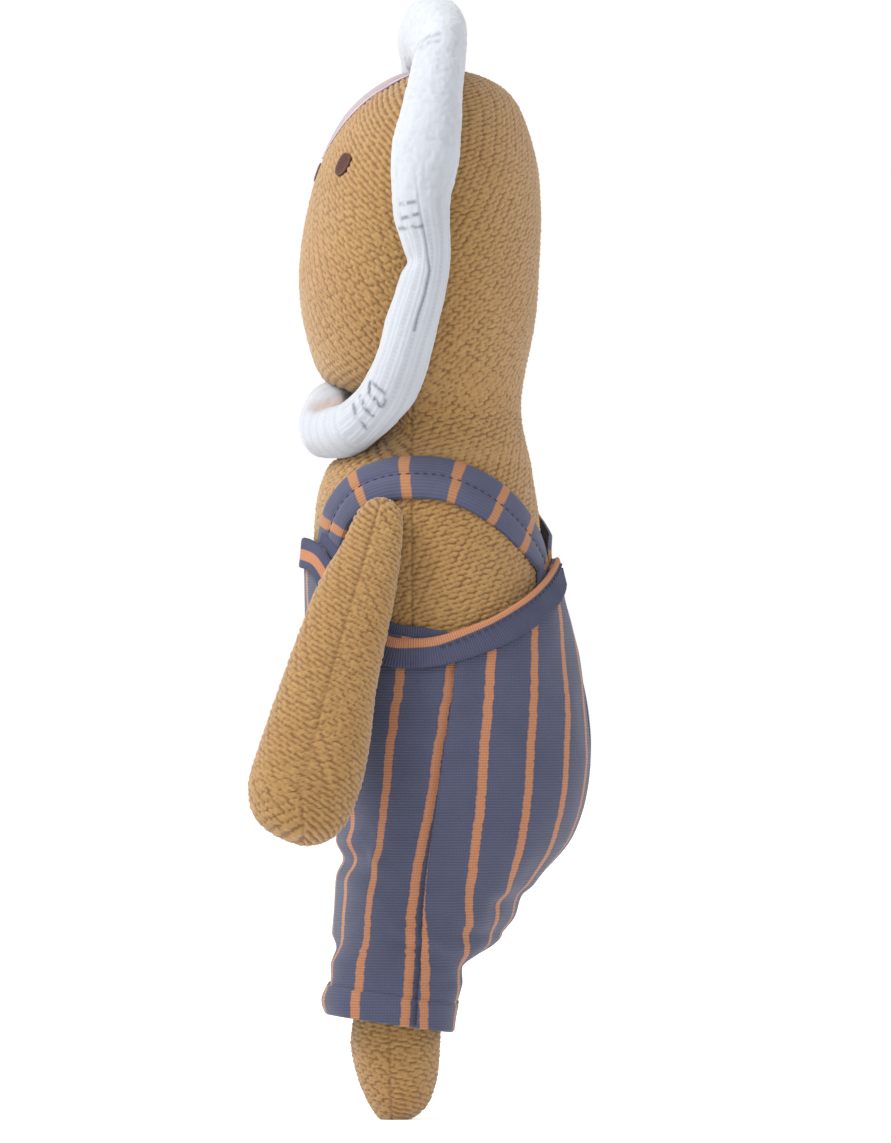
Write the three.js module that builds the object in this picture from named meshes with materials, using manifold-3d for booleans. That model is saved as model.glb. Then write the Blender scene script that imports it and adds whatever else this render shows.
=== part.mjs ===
// A knitted plush lion in striped dungarees, standing upright with its arms at its sides.
// Millimetres, +Z up. The lion looks along -Y and its left side is +X.
// The origin is on the ground, under the middle of the whole toy.
//
// Every stuffed part is drawn as a toy maker's pattern is: a front outline and a back outline
// seen from the side, with a half width at each station. The outlines become two knitted
// panels that meet at the side seams, and the stuffing that fills them.
import * as THREE from "three";
import { mergeVertices } from "three/addons/utils/BufferGeometryUtils.js";
import Module from "manifold-3d";

const wasm = await Module();
wasm.setup();

// Cloth and seams
const skinThickness = 1.6; // chunky knit of the body
const jerseyThickness = 1.4; // cloth of the dungarees
const seamGap = 0.3; // left wherever two pieces meet
const jointClearance = 0.7; // between a round end and its hollow
const stationSquareness = 2.2; // 2 is an ellipse, more is boxier

// Neck
const neckLowStation = 10.8; // the head turns on the flat face here
const neckHighStation = 12.1; // the head nods above here
const neckBallRadius = 19;
const neckY = 8;
const neckZ = 216;
const nodForwardDegrees = 3; // until the roll under the chin meets the chest

// Mane
const maneSleeveThickness = 1.1;
const maneFlatness = 0.86; // its thickness from front to back, as a share of its height
const chestSweepStation = 8; // above here the mane keeps clear of the chest
const maneChestGap = 2.2;

// Face
const eyeDiameter = 8.4;
const eyeStandOut = 0.8;
const eyeStation = 17; // stations are counted up the body's list of sections
const eyeDegrees = 38.3; // round from the front
const noseWidth = 14;
const noseTopStation = 17.09;
const noseLowStation = 16.68;
const noseStandOut = 1;
const blazeTopHalfWidth = 14;
const blazeNoseHalfWidth = 6.5;
const blazeThickness = 0.7;
const blazeLowStation = 17.12;
const blazeTopStation = 18.66;

// Arms
const armRootY = -12.5;
const armRootZ = 186.5;
const shoulderSeamRadius = 4;
const shoulderSeamThickness = 2.3;
const armRootHalfThickness = 3.6;
const armStuffingStation = 9 / 8; // the arm is flat and empty above here

// Legs
const hipX = 19;
const hipY = -5.3;
const hipZ = 52;
const hipBallRadius = 13;
const soleZ = 0;

// Dungarees
const frontEase = 1.4; // room between the skin and the cloth
const backEase = 2.6;
const sideEase = 1.6;
const waistTopZ = 182; // top edge of the bib and of the back
const armholeTopZ = 230; // above the straps
const tongueHalfWidth = 8; // cloth between the two armholes at the back
const armholeEdge = [
  [-27.5, 190], [-27, 176], [-22.5, 160.5], [-10.5, 151.5], [3, 149],
  [21.6, 155.3], [34, 161.6], [45, 170.5], [58, 184],
]; // seen from the side, y and z
const bindingWidth = 9.5;
const bindingFrontShare = 0.5; // the side view foreshortens its width at the front
const bindingStandOut = 0.7;
const sideSeamTopY = 10.6;
const sideSeamTopZ = 140.6;
const sideSeamSlope = 0.108; // the seam leans forward on its way down
const trouserSplitZ = 58; // where the seat ends and the two trouser legs begin

// Straps
const strapWidth = 13;
const strapThickness = 1.8;

// Finishes
const finish = (color, roughness) => new THREE.MeshStandardMaterial({ color, roughness, metalness: 0 });
const tanKnit = finish(0xc39a5f, 0.95);
const fibreFill = finish(0xf2efe8, 1);
const whiteKnit = finish(0xeeeff3, 0.95);
const blazeCloth = finish(0xdccfd2, 0.9);
const brownThread = finish(0x4d2a24, 0.7);
const seamThread = finish(0xb98f55, 0.9);
const slateJersey = finish(0x64688a, 0.9);

const lion = new THREE.Group();
const quarter = Math.PI / 2;

// Adds a named piece to the toy.
function addPiece(name, geometry, material) {
  geometry.computeVertexNormals();
  const mesh = new THREE.Mesh(geometry, material);
  mesh.name = name;
  lion.add(mesh);
}

// Closed solid through a row of closed loops of points. "fan" ends close on their middle,
// "strip" ends pair the two halves of a thin loop, and a "ring" joins the last loop to the first.
function loft(loops, ends) {
  const size = loops[0].length;
  const points = loops.flat();
  const triangles = [];
  const quad = (a, b, c, d) => triangles.push([a, b, c], [a, c, d]);
  const bands = ends === "ring" ? loops.length : loops.length - 1;
  for (let i = 0; i < bands; i++) {
    const next = (i + 1) % loops.length;
    for (let j = 0; j < size; j++) {
      const k = (j + 1) % size;
      quad(i * size + j, i * size + k, next * size + k, next * size + j);
    }
  }
  for (const [row, turned] of ends === "ring" ? [] : [[0, true], [loops.length - 1, false]]) {
    const at = (j) => row * size + j;
    const close = (a, b, c) => triangles.push(turned ? [c, b, a] : [a, b, c]);
    if (ends === "fan") {
      const middle = loops[row].reduce((sum, p) => sum.add(p), new THREE.Vector3()).divideScalar(size);
      points.push(middle);
      for (let j = 0; j < size; j++) close(at(j), at((j + 1) % size), points.length - 1);
    } else {
      for (let j = 0; j < size / 2 - 1; j++) {
        close(at(j), at(j + 1), at(size - 2 - j));
        close(at(j), at(size - 2 - j), at(size - 1 - j));
      }
    }
  }
  return welded(points, triangles);
}

// Merges equal points, drops triangles that have collapsed, and turns the faces outwards.
function welded(points, triangles) {
  const raw = new THREE.BufferGeometry().setFromPoints(points);
  raw.setIndex(triangles.flat());
  const merged = mergeVertices(raw, 1e-3);
  const index = merged.index.array;
  const kept = [];
  const at = (i) => new THREE.Vector3().fromBufferAttribute(merged.attributes.position, i);
  let volume = 0;
  for (let i = 0; i < index.length; i += 3) {
    const [a, b, c] = index.slice(i, i + 3);
    if (a === b || b === c || c === a) continue;
    kept.push([a, b, c]);
    volume += at(a).dot(at(b).cross(at(c)));
  }
  merged.setIndex((volume < 0 ? kept.map((t) => t.reverse()) : kept).flat());
  return merged;
}

// Between three.js geometry and manifold-3d solids, for joining and cutting.
function toSolid(geometry) {
  const bare = new THREE.BufferGeometry().setAttribute("position", geometry.getAttribute("position"));
  bare.setIndex(geometry.index);
  const merged = mergeVertices(bare, 1e-4);
  const triVerts = new Uint32Array(merged.index.array);
  const vertProperties = merged.attributes.position.array;
  return new wasm.Manifold(new wasm.Mesh({ numProp: 3, vertProperties, triVerts }));
}

function toGeometry(solid) {
  const mesh = solid.getMesh();
  const geometry = new THREE.BufferGeometry();
  geometry.setAttribute("position", new THREE.BufferAttribute(mesh.vertProperties, 3));
  return geometry.setIndex(new THREE.BufferAttribute(mesh.triVerts, 1));
}

const mirrored = (geometry) => {
  const points = geometry.clone().applyMatrix4(new THREE.Matrix4().makeScale(-1, 1, 1));
  points.setIndex(Array.from(points.index.array).reverse());
  return points;
};

const bothSides = (solid) => solid.add(toSolid(mirrored(toGeometry(solid))));

const ball = (radius, x, y, z) => toSolid(new THREE.SphereGeometry(radius, 16, 10).translate(x, y, z));

// All that lies above a height (direction 1) or below it (direction -1).
function beyondHeight(z, direction) {
  const size = farAway();
  return toSolid(new THREE.BoxGeometry(size, size, size).translate(0, 0, z + (direction * size) / 2));
}

// A number raised to a power with its sign kept, which makes a circle's sine and cosine boxier.
const signedPower = (value, power) => Math.sign(value) * Math.abs(value) ** power;

// A swelling, tapering form. A station is [front y, front z, back y, back z, half width, middle x],
// and one whose half width is 0 is a round end.
class StuffedForm {
  constructor(stations, rowCount, columns, squareness = stationSquareness) {
    this.stations = stations;
    this.squareness = squareness;
    this.last = stations.length - 1;
    this.rowCount = rowCount;
    this.columns = columns;
  }

  // The station before the first or after the last: its round end's reflection, or a straight run on.
  beyond(end, inner) {
    const [fy, fz, by, bz, half, x] = this.stations[inner];
    if (this.stations[end][4] === 0) return [by, bz, fy, fz, -half, x];
    return this.stations[end].map((value, i) => 2 * value - this.stations[inner][i]);
  }

  station(i) {
    if (i < 0) return this.beyond(0, 1);
    if (i > this.last) return this.beyond(this.last, this.last - 1);
    return this.stations[i];
  }

  // The smooth section at a place counted in stations.
  section(place) {
    const i = Math.min(Math.max(Math.floor(place), 0), this.last - 1);
    const t = place - i;
    const [a, b, c, d] = [-1, 0, 1, 2].map((step) => this.station(i + step));
    return b.map((value, k) => {
      const slope = (c[k] - a[k]) / 2;
      const nextSlope = (d[k] - value) / 2;
      const gap = c[k] - value;
      const cubic = slope + nextSlope - 2 * gap;
      return value + t * (slope + t * (3 * gap - 2 * slope - nextSlope + t * cubic));
    });
  }

  // A point on the surface. The angle is 0 at the front and a quarter turn at the left side.
  surface(place, angle) {
    const [fy, fz, by, bz, half, x] = this.section(place);
    const across = signedPower(Math.sin(angle), 2 / this.squareness);
    const along = signedPower(Math.cos(angle), 2 / this.squareness);
    const y = (fy + by) / 2 + ((fy - by) / 2) * along;
    const z = (fz + bz) / 2 + ((fz - bz) / 2) * along;
    return new THREE.Vector3(x + half * across, y, z);
  }

  middle(place) {
    const [fy, fz, by, bz, , x] = this.section(place);
    return new THREE.Vector3(x, (fy + by) / 2, (fz + bz) / 2);
  }

  normal(place, angle) {
    const small = 0.02;
    const inside = Math.min(Math.max(place, small), this.last - small);
    if (Math.abs(this.section(place)[4]) < 1e-6) {
      const inwards = place < this.last / 2 ? place + 1 : place - 1;
      return this.middle(place).sub(this.middle(inwards)).normalize();
    }
    const around = this.surface(inside, angle + small).sub(this.surface(inside, angle - small));
    const along = this.surface(inside + small, angle).sub(this.surface(inside - small, angle));
    const across = around.cross(along).normalize();
    const outwards = this.surface(inside, angle).sub(this.middle(inside));
    return across.dot(outwards) < 0 ? across.negate() : across;
  }

  // A point at a distance from the surface, outwards or, if it is negative, inwards.
  point(place, angle, offset = 0) {
    return this.surface(place, angle).addScaledVector(this.normal(place, angle), offset);
  }

  // The place whose middle is at a height.
  placeAt(z) {
    let [low, high] = [0, this.last];
    const rising = this.middle(high).z > this.middle(low).z;
    for (let i = 0; i < 30; i++) {
      const mid = (low + high) / 2;
      if (this.middle(mid).z < z === rising) low = mid;
      else high = mid;
    }
    return low;
  }

  // The place and angle of the surface point at a given y and z, on the left side.
  locate(y, z) {
    const cross = (place) => {
      const [fy, fz, by, bz] = this.section(place);
      return (by - fy) * (z - fz) - (bz - fz) * (y - fy);
    };
    let [low, high] = [0.05, this.last - 0.05];
    const rising = cross(low) > cross(high);
    for (let i = 0; i < 30; i++) {
      const mid = (low + high) / 2;
      if (cross(mid) > 0 === rising) low = mid;
      else high = mid;
    }
    const [fy, , by] = this.section(low);
    const along = THREE.MathUtils.clamp((y - (fy + by) / 2) / ((fy - by) / 2), -1, 1);
    return { place: low, angle: Math.acos(signedPower(along, this.squareness / 2)) };
  }

  // One closed loop of points round the form.
  loop(place, offset) {
    return steps(0, 4 * quarter, this.columns).slice(0, -1)
      .map((angle) => this.point(place, angle, offset));
  }

  // The stretch between two places as one solid, moved out or in from the surface.
  fill(from, to, offset) {
    return loft(this.rows(from, to).map((place) => this.loop(place, offset)), "fan");
  }

  // The skin of a stretch. It closes over a round end and is open at any other end.
  skin(from, to, outer, inner) {
    const isRound = (place) => Math.abs(this.section(place)[4]) < 1e-6;
    if (isRound(from) && isRound(to)) {
      return toSolid(this.fill(from, to, outer)).subtract(toSolid(this.fill(from, to, inner)));
    }
    const rows = this.rows(from, to);
    const outside = rows.map((place) => this.loop(place, outer));
    const inside = rows.map((place) => this.loop(place, inner)).reverse();
    if (isRound(to)) return toSolid(loft([...inside, ...outside], "fan"));
    return toSolid(loft([...outside, ...inside], isRound(from) ? "fan" : "ring"));
  }

  // The rows of the form's own net between two places.
  rows(from, to) {
    const inner = steps(0, this.last, this.rowCount).filter((place) => place > from + 0.01 && place < to - 0.01);
    return [from, ...inner, to];
  }

  // The front or back half of the skin, which stops half a seam gap short of the side seams.
  panel(from, to, side, outer, inner) {
    const halfTurn = steps(-quarter, quarter, this.columns / 2);
    const angles = side === "front" ? halfTurn : halfTurn.map((angle) => angle + 2 * quarter);
    const loops = this.rows(from, to).map((place) => {
      const middle = this.middle(place);
      const along = this.middle(Math.min(place + 0.1, this.last)).sub(this.middle(Math.max(place - 0.1, 0)));
      const away = new THREE.Vector3(0, -along.z, along.y).normalize();
      if (away.y > 0 === (side === "front")) away.negate();
      const short = (p) => p.addScaledVector(away, Math.max(0, seamGap / 2 - away.dot(p.clone().sub(middle))));
      return [
        ...angles.map((angle) => short(this.point(place, angle, outer))),
        ...[...angles].reverse().map((angle) => short(this.point(place, angle, inner))),
      ];
    });
    return loft(loops, "strip");
  }
}

// A sheet one seam gap thick along a line in the Y and Z plane, right across the toy.
function seamSheet(line) {
  const reach = farAway();
  const loops = line.map((at, i) => {
    const along = line[Math.min(i + 1, line.length - 1)].clone().sub(line[Math.max(i - 1, 0)]);
    const across = new THREE.Vector3(0, along.z, -along.y).setLength(seamGap / 2);
    const near = at.clone().sub(across);
    const far = at.clone().add(across);
    return [[-reach, near], [reach, near], [reach, far], [-reach, far]].map(([x, p]) => new THREE.Vector3(x, p.y, p.z));
  });
  return toSolid(loft(loops, "fan"));
}

// The pieces that a cut leaves, from the front one to the back one.
function separate(solid) {
  const middleY = (piece) => {
    const { min, max } = piece.boundingBox();
    return min[1] + max[1];
  };
  return solid.decompose().sort((a, b) => middleY(a) - middleY(b)).map(toGeometry);
}

const steps = (from, to, count) =>
  Array.from({ length: count + 1 }, (_, i) => from + ((to - from) * i) / count);

// Head and torso, from the seat of the torso to the top of the head
const body = new StuffedForm([
  [-2, 61, -2, 61, 0, 0],
  [-14, 65, 17, 64, 24, 0],
  [-20.6, 74, 31, 73, 35, 0],
  [-22.4, 90, 43, 88, 40, 0],
  [-28.2, 110, 48.7, 108, 42.5, 0],
  [-32, 132, 47.6, 130, 42, 0], // belly
  [-33.2, 154, 43, 154, 39.5, 0],
  [-33.5, 175, 38.2, 174, 37.5, 0], // chest
  [-32.3, 193, 36.2, 192, 36.5, 0],
  [-28, 204, 34.4, 204, 33.5, 0], // shoulders
  [-19, 210, 33, 210, 29.5, 0],
  [-15.5, 217.5, 31.5, 217.5, 27.5, 0], // neck
  [-19, 224.5, 31.3, 224.5, 29.5, 0],
  [-29.8, 230.5, 32.6, 234, 35.5, 0], // chin
  [-35.2, 243, 35, 248, 41.5, 0],
  [-37.8, 262, 36.6, 266, 46, 0], // cheeks
  [-36, 280, 37.1, 284, 46.5, 0],
  [-31, 297.5, 35.5, 300, 43, 0], // brow
  [-22, 314, 29.6, 317, 31.5, 0],
  [-9.5, 323.6, 19.5, 325, 17, 0],
  [5, 327.2, 5, 327.2, 0, 0], // top of the head
], 24, 16);

const fillInset = skinThickness + seamGap;
const neckSeatZ = body.middle(neckLowStation).z;
const farAway = () => 2 * body.middle(body.last).z; // further than any piece reaches

// Everything that lies on the knit is cut to fit this solid, one seam gap above it.
const bodyBed = toSolid(body.fill(0, body.last, seamGap));

// Torso: a front and a back panel of knit over the stuffing, hollowed for the two legs
function buildTorso() {
  const sockets = bothSides(ball(hipBallRadius + jointClearance, hipX, hipY, hipZ));
  const away = sockets.add(beyondHeight(neckSeatZ, 1));
  const hollowed = (geometry) => toGeometry(toSolid(geometry).subtract(away));
  const panel = (side) => hollowed(body.panel(0, neckLowStation, side, 0, -skinThickness));
  addPiece("torso_front_panel", panel("front"), tanKnit);
  addPiece("torso_back_panel", panel("back"), tanKnit);
  addPiece("torso_stuffing", hollowed(body.fill(0, neckLowStation, -fillInset)), fibreFill);
}

// Neck: the plug of stuffing that the head rocks on, and the band of skin round it
function buildNeck() {
  const high = body.placeAt(body.middle(neckHighStation).z - 2 * seamGap);
  const above = beyondHeight(neckSeatZ + seamGap, 1);
  const skin = body.skin(neckLowStation, high, 0, -skinThickness);
  addPiece("neck_skin", toGeometry(skin.intersect(above)), tanKnit);
  addPiece("neck_stuffing", toGeometry(ball(neckBallRadius, 0, neckY, neckZ).intersect(above)), fibreFill);
}

// Head: a face panel and a back panel of knit over the stuffing, which is hollowed for the neck
function buildHead() {
  const panel = (side) => body.panel(neckHighStation, body.last, side, 0, -skinThickness);
  const stuffing = toSolid(body.fill(neckHighStation, body.last, -fillInset));
  const socket = ball(neckBallRadius + jointClearance, 0, neckY, neckZ);
  addPiece("face_panel", panel("front"), tanKnit);
  addPiece("head_back_panel", panel("back"), tanKnit);
  addPiece("head_stuffing", toGeometry(stuffing.subtract(socket)), fibreFill);
}

// Mane: a stuffed roll of ribbed knit that is sewn into the side seams and passes under the chin.
// Each entry is [station on the body, angle from the front, lift of the middle, radius].
const maneLeft = [
  [18.9, 90, 10.8, 11],
  [17.8, 90, 9.3, 10.6],
  [16.9, 91, 8.2, 10.3],
  [16, 91, 7.6, 9.8],
  [15.2, 93, 6.8, 8.9],
  [14.3, 86, 7, 8.8],
  [13.3, 73, 8.3, 9.6],
  [12.2, 50, 10, 10.4],
  [11.4, 24, 11.3, 10.8],
];
const maneTop = [20, 90, 12.4, 11];
const maneChin = [11, 0, 11.8, 11];

function manePath() {
  const place = ([station, degrees, lift], side) => {
    const angle = side * THREE.MathUtils.degToRad(degrees);
    return body.point(station, angle, lift);
  };
  const stops = [
    [maneTop, 1],
    ...maneLeft.map((stop) => [stop, 1]),
    [maneChin, 1],
    ...[...maneLeft].reverse().map((stop) => [stop, -1]),
  ];
  return {
    curve: new THREE.CatmullRomCurve3(stops.map(([stop, side]) => place(stop, side)), true),
    radii: stops.map(([stop]) => stop[3]),
  };
}

// A closed tube along the mane's path, thinner than the mane by an inset.
function maneTube(inset, around = 8, along = 32) {
  const { curve, radii } = manePath();
  const samples = curve.getSpacedPoints(40);
  const centre = samples.reduce((sum, p) => sum.add(p), new THREE.Vector3()).divideScalar(samples.length);
  const loops = steps(0, 1, along).slice(0, -1).map((t) => {
    const at = curve.getPoint(t);
    const tangent = curve.getTangent(t);
    const outwards = at.clone().sub(centre);
    outwards.addScaledVector(tangent, -outwards.dot(tangent)).normalize();
    const sideways = new THREE.Vector3().crossVectors(tangent, outwards);
    const index = t * radii.length;
    const share = index - Math.floor(index);
    const radius = radii[Math.floor(index)] * (1 - share) + radii[Math.ceil(index) % radii.length] * share;
    return steps(0, 2 * Math.PI, around).slice(0, -1).map((angle) =>
      at.clone()
        .addScaledVector(outwards, Math.cos(angle) * (radius - inset))
        .addScaledVector(sideways, Math.sin(angle) * (radius * maneFlatness - inset)));
  });
  return toSolid(loft(loops, "ring"));
}

// The room that the chest takes as the head turns and nods over it: its outline spun round the
// neck and raised by the nod.
function chestSweep() {
  const rise = Math.sin(THREE.MathUtils.degToRad(nodForwardDegrees));
  const profile = steps(chestSweepStation, neckLowStation, 4).map((place) => {
    const reach = Math.max(...body.loop(place, maneChestGap).map((p) => Math.hypot(p.x, p.y - neckY)));
    return new THREE.Vector2(reach, body.middle(place).z + reach * rise);
  });
  const onAxis = (point) => new THREE.Vector2(0, point.y);
  const outline = [onAxis(profile[0]), ...profile, onAxis(profile.at(-1))];
  const spun = new THREE.LatheGeometry(outline, 24).rotateX(quarter).translate(0, neckY, 0);
  spun.deleteAttribute("uv");
  spun.deleteAttribute("normal");
  return toSolid(mergeVertices(spun, 1e-4));
}

function buildMane() {
  const away = bodyBed.add(chestSweep());
  const sleeve = maneTube(0).subtract(maneTube(maneSleeveThickness)).subtract(away);
  const filling = maneTube(maneSleeveThickness + seamGap).subtract(away);
  addPiece("mane_sleeve", toGeometry(sleeve), whiteKnit);
  addPiece("mane_filling", toGeometry(filling), fibreFill);
}

// A flat patch sewn on the face: each row is a half width at a station.
function facePatch(rows, thickness) {
  const loops = rows.map(([place, halfWidth]) => {
    const reach = Math.asin((halfWidth / body.section(place)[4]) ** (body.squareness / 2));
    const angles = steps(-reach, reach, 4);
    return [
      ...angles.map((angle) => body.point(place, angle, seamGap + thickness)),
      ...angles.reverse().map((angle) => body.point(place, angle, -skinThickness)),
    ];
  });
  return toGeometry(toSolid(loft(loops, "strip")).subtract(bodyBed));
}

// Face: two embroidered eyes, an embroidered nose and a pale blaze up to the mane
function buildFace() {
  const angle = THREE.MathUtils.degToRad(eyeDegrees);
  const dome = new THREE.SphereGeometry(eyeDiameter / 2, 12, 8).scale(1, (eyeStandOut * 4) / eyeDiameter, 1);
  const turn = new THREE.Quaternion().setFromUnitVectors(new THREE.Vector3(0, 1, 0), body.normal(eyeStation, angle));
  dome.applyQuaternion(turn).translate(...body.point(eyeStation, angle, -eyeStandOut).toArray());
  addPair("eye", toGeometry(toSolid(dome).subtract(bodyBed)), brownThread);

  const noseRows = [[0, 0.55], [0.3, 1], [0.7, 0.7], [1, 0.25]];
  const noseShape = noseRows.map(([down, share]) => [
    THREE.MathUtils.lerp(noseTopStation, noseLowStation, down),
    (share * noseWidth) / 2,
  ]);
  addPiece("nose", facePatch(noseShape, noseStandOut), brownThread);

  const blazeShape = steps(0, 1, 5).map((t) => [
    THREE.MathUtils.lerp(blazeLowStation, blazeTopStation, t),
    THREE.MathUtils.lerp(blazeNoseHalfWidth, blazeTopHalfWidth, t),
  ]);
  addPiece("forehead_blaze", facePatch(blazeShape, blazeThickness), blazeCloth);
}

// Arms: each hangs from a seam at the shoulder, a little forward and outward. The seam stands
// clear of the widest place under it, so it can turn there.
const rim = shoulderSeamRadius * Math.SQRT1_2;
const shoulder = body.locate(armRootY + rim, armRootZ - rim);
const shoulderX = body.surface(shoulder.place, shoulder.angle).x;
const armX = shoulderX + shoulderSeamThickness + armRootHalfThickness;
const arm = new StuffedForm([
  [-12.5, 192.4, -12.5, 192.4, 0, armX],
  [-18.4, 188.6, -6.9, 188.6, armRootHalfThickness, armX],
  [-24, 179.8, -5.8, 180.5, 5.2, armX + 2.2],
  [-31.4, 167, -7.8, 165.5, 7.2, armX + 5],
  [-37.8, 150.5, -10.8, 149.5, 8.8, armX + 8],
  [-43.8, 133.5, -13.8, 133.5, 9.9, armX + 10.5],
  [-49.8, 117, -15.8, 117.5, 10.8, armX + 12.5],
  [-53.1, 104, -19, 102.5, 11, armX + 13.5],
  [-49.5, 92.6, -25, 90.2, 8.6, armX + 14],
  [-36, 85.9, -36, 85.9, 0, armX + 14],
], 8, 12);

// Adds a piece for the left side and its reflection for the right.
function addPair(name, geometry, material) {
  addPiece(`left_${name}`, geometry, material);
  addPiece(`right_${name}`, mirrored(geometry), material);
}

function buildArms() {
  addPair("arm_front_panel", arm.panel(0, arm.last, "front", 0, -skinThickness), tanKnit);
  addPair("arm_back_panel", arm.panel(0, arm.last, "back", 0, -skinThickness), tanKnit);
  addPair("arm_stuffing", arm.fill(armStuffingStation, arm.last, -fillInset), fibreFill);
  const seamLength = shoulderSeamThickness - 2 * seamGap;
  const seam = new THREE.CylinderGeometry(shoulderSeamRadius, shoulderSeamRadius, seamLength, 16);
  seam.rotateZ(quarter).translate(shoulderX + shoulderSeamThickness / 2, armRootY, armRootZ);
  addPair("shoulder_seam", toGeometry(toSolid(seam)), seamThread);
}

// Legs: each hangs from a ball of stuffing under the torso, and ends in a flattened sole
const hipBallStation = (degrees) => {
  const angle = THREE.MathUtils.degToRad(degrees);
  const radius = hipBallRadius * Math.cos(angle);
  const z = hipZ + hipBallRadius * Math.sin(angle);
  return [hipY - radius, z, hipY + radius, z, radius, hipX];
};
const leg = new StuffedForm([
  [-7.8, -0.5, -7.8, -0.5, 0, hipX],
  [-11.8, -0.3, -3.8, -0.3, 4, hipX], // cut away, which leaves the flat of the sole
  [-15.8, 4.6, 2.2, 4.6, 9, hipX],
  [-19.6, 13.5, 5.2, 13.5, 12, hipX],
  [-21.6, 25, 6, 25, 12.6, hipX],
  [-19.4, 38, 7, 38, 12.5, hipX],
  hipBallStation(0),
  hipBallStation(38),
  hipBallStation(68),
  [hipY, hipZ + hipBallRadius, hipY, hipZ + hipBallRadius, 0, hipX],
], 9, 12, 2);

function buildLegs() {
  const ground = beyondHeight(soleZ, -1);
  for (const side of ["front", "back"]) {
    const panel = toSolid(leg.panel(0, leg.last, side, 0, -skinThickness));
    addPair(`leg_${side}_panel`, toGeometry(panel.subtract(ground)), tanKnit);
  }
  addPair("leg_stuffing", leg.fill(0, leg.last, -fillInset), fibreFill);
}

// Dungarees: cut round the torso with some ease. The three lowest stations are the seat.
const eased = (station) => {
  const [fy, fz, by, bz, half, x] = body.stations[station];
  const front = frontEase + jerseyThickness;
  const back = backEase + jerseyThickness;
  return [fy - front, fz, by + back, bz, half + sideEase + jerseyThickness, x];
};
const cloth = new StuffedForm([
  [-27.6, trouserSplitZ, 25, trouserSplitZ, 41.2, 0],
  [-26.4, 74, 36.4, 74, 42.6, 0],
  [-25.6, 90, 47.4, 88, 44.2, 0],
  ...[4, 5, 6, 7, 8].map(eased),
], 9, 20);

// Everything inside the armhole, grown by a margin, from a distance off the centre outwards.
function armholeCutter(margin, fromX) {
  const edge = new THREE.SplineCurve(armholeEdge.map(([y, z]) => new THREE.Vector2(y, z)));
  const points = steps(0, 1, 16).map((t) => {
    const along = edge.getTangent(t);
    return edge.getPoint(t).add(new THREE.Vector2(along.y * bindingFrontShare, -along.x).multiplyScalar(margin));
  });
  const shape = new THREE.Shape();
  shape.moveTo(points[0].x, armholeTopZ);
  for (const { x, y } of points) shape.lineTo(x, y);
  shape.lineTo(points.at(-1).x, armholeTopZ);
  const prism = new THREE.ExtrudeGeometry(shape, { depth: farAway(), bevelEnabled: false });
  prism.deleteAttribute("uv");
  prism.deleteAttribute("normal");
  // The shape's x and y become the toy's y and z, and the extrusion becomes x.
  prism.applyMatrix4(new THREE.Matrix4().set(0, 0, 1, fromX, 1, 0, 0, 0, 0, 1, 0, 0, 0, 0, 0, 1));
  return toSolid(mergeVertices(prism, 1e-4));
}

function buildDungarees() {
  const top = cloth.placeAt(waistTopZ);
  const seamAt = (z) => new THREE.Vector3(0, sideSeamTopY + (z - sideSeamTopZ) * sideSeamSlope, z);
  const opening = bothSides(armholeCutter(bindingWidth + seamGap, tongueHalfWidth));
  const under = beyondHeight(trouserSplitZ, -1);
  const sheet = cloth.skin(0, top, 0, -jerseyThickness).subtract(opening).subtract(under);
  const [front, back] = separate(sheet.subtract(seamSheet([seamAt(soleZ), seamAt(armholeTopZ)])));
  addPiece("dungarees_front_panel", front, slateJersey);
  addPiece("dungarees_back_panel", back, slateJersey);

  const band = cloth.skin(3, top, bindingStandOut, -jerseyThickness);
  const fromX = tongueHalfWidth + seamGap;
  const binding = band.intersect(armholeCutter(bindingWidth, fromX)).subtract(armholeCutter(0, fromX));
  addPair("armhole_binding", toGeometry(binding), slateJersey);
}

// Trouser legs: tubes of jersey from the seat to the turned-up hem
const trouserTopZ = trouserSplitZ - seamGap;
const trouser = new StuffedForm([
  [-30.2, 33, 11, 27.4, 19.3, 21.3],
  [-28, 42, 12.4, 38, 19.5, 21.2],
  [-27.5, 50, 14, 49, 20, 21],
  [-27.6, trouserTopZ, 25, trouserTopZ, 20.3, 20.8],
], 4, 16, 2.5);

function buildTrouserLegs() {
  const above = beyondHeight(trouserTopZ, 1);
  const tube = trouser.skin(0, trouser.last, 0, -jerseyThickness).subtract(above);
  addPair("trouser_leg", toGeometry(tube), slateJersey);
}

// Straps: folded strips that lie on the shoulders, from the front of the armhole to its back.
// Each stop is the strap's middle line seen from the side, [y, z].
const strapLine = [
  [-28.6, 160], [-28.6, 170], [-28.2, 180], [-25.5, 188.5], [-20.5, 194], [-13.5, 197.6], [-5, 199.2],
  [6, 198.8], [15.3, 195.8], [24.7, 190], [32.3, 182], [37, 173.5], [38.4, 165], [38.4, 158],
];

function strapBand() {
  const path = new THREE.CatmullRomCurve3(strapLine.map(([y, z]) => {
    const { place, angle } = body.locate(y, z);
    return body.surface(place, angle);
  }));
  const loops = steps(0, 1, 16).map((t) => {
    const at = path.getPoint(t);
    const { place, angle } = body.locate(at.y, at.z);
    const out = body.normal(place, angle);
    const across = new THREE.Vector3().crossVectors(out, path.getTangent(t)).normalize();
    const corner = (side, height) =>
      at.clone().addScaledVector(across, (side * strapWidth) / 2).addScaledVector(out, height);
    const top = seamGap + strapThickness;
    return [corner(-1, top), corner(1, top), corner(1, -strapThickness), corner(-1, -strapThickness)];
  });
  return toSolid(loft(loops, "strip"));
}

function buildStraps() {
  const opening = armholeCutter(-seamGap, tongueHalfWidth + seamGap);
  addPair("strap", toGeometry(strapBand().intersect(opening).subtract(bodyBed)), slateJersey);
}

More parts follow.
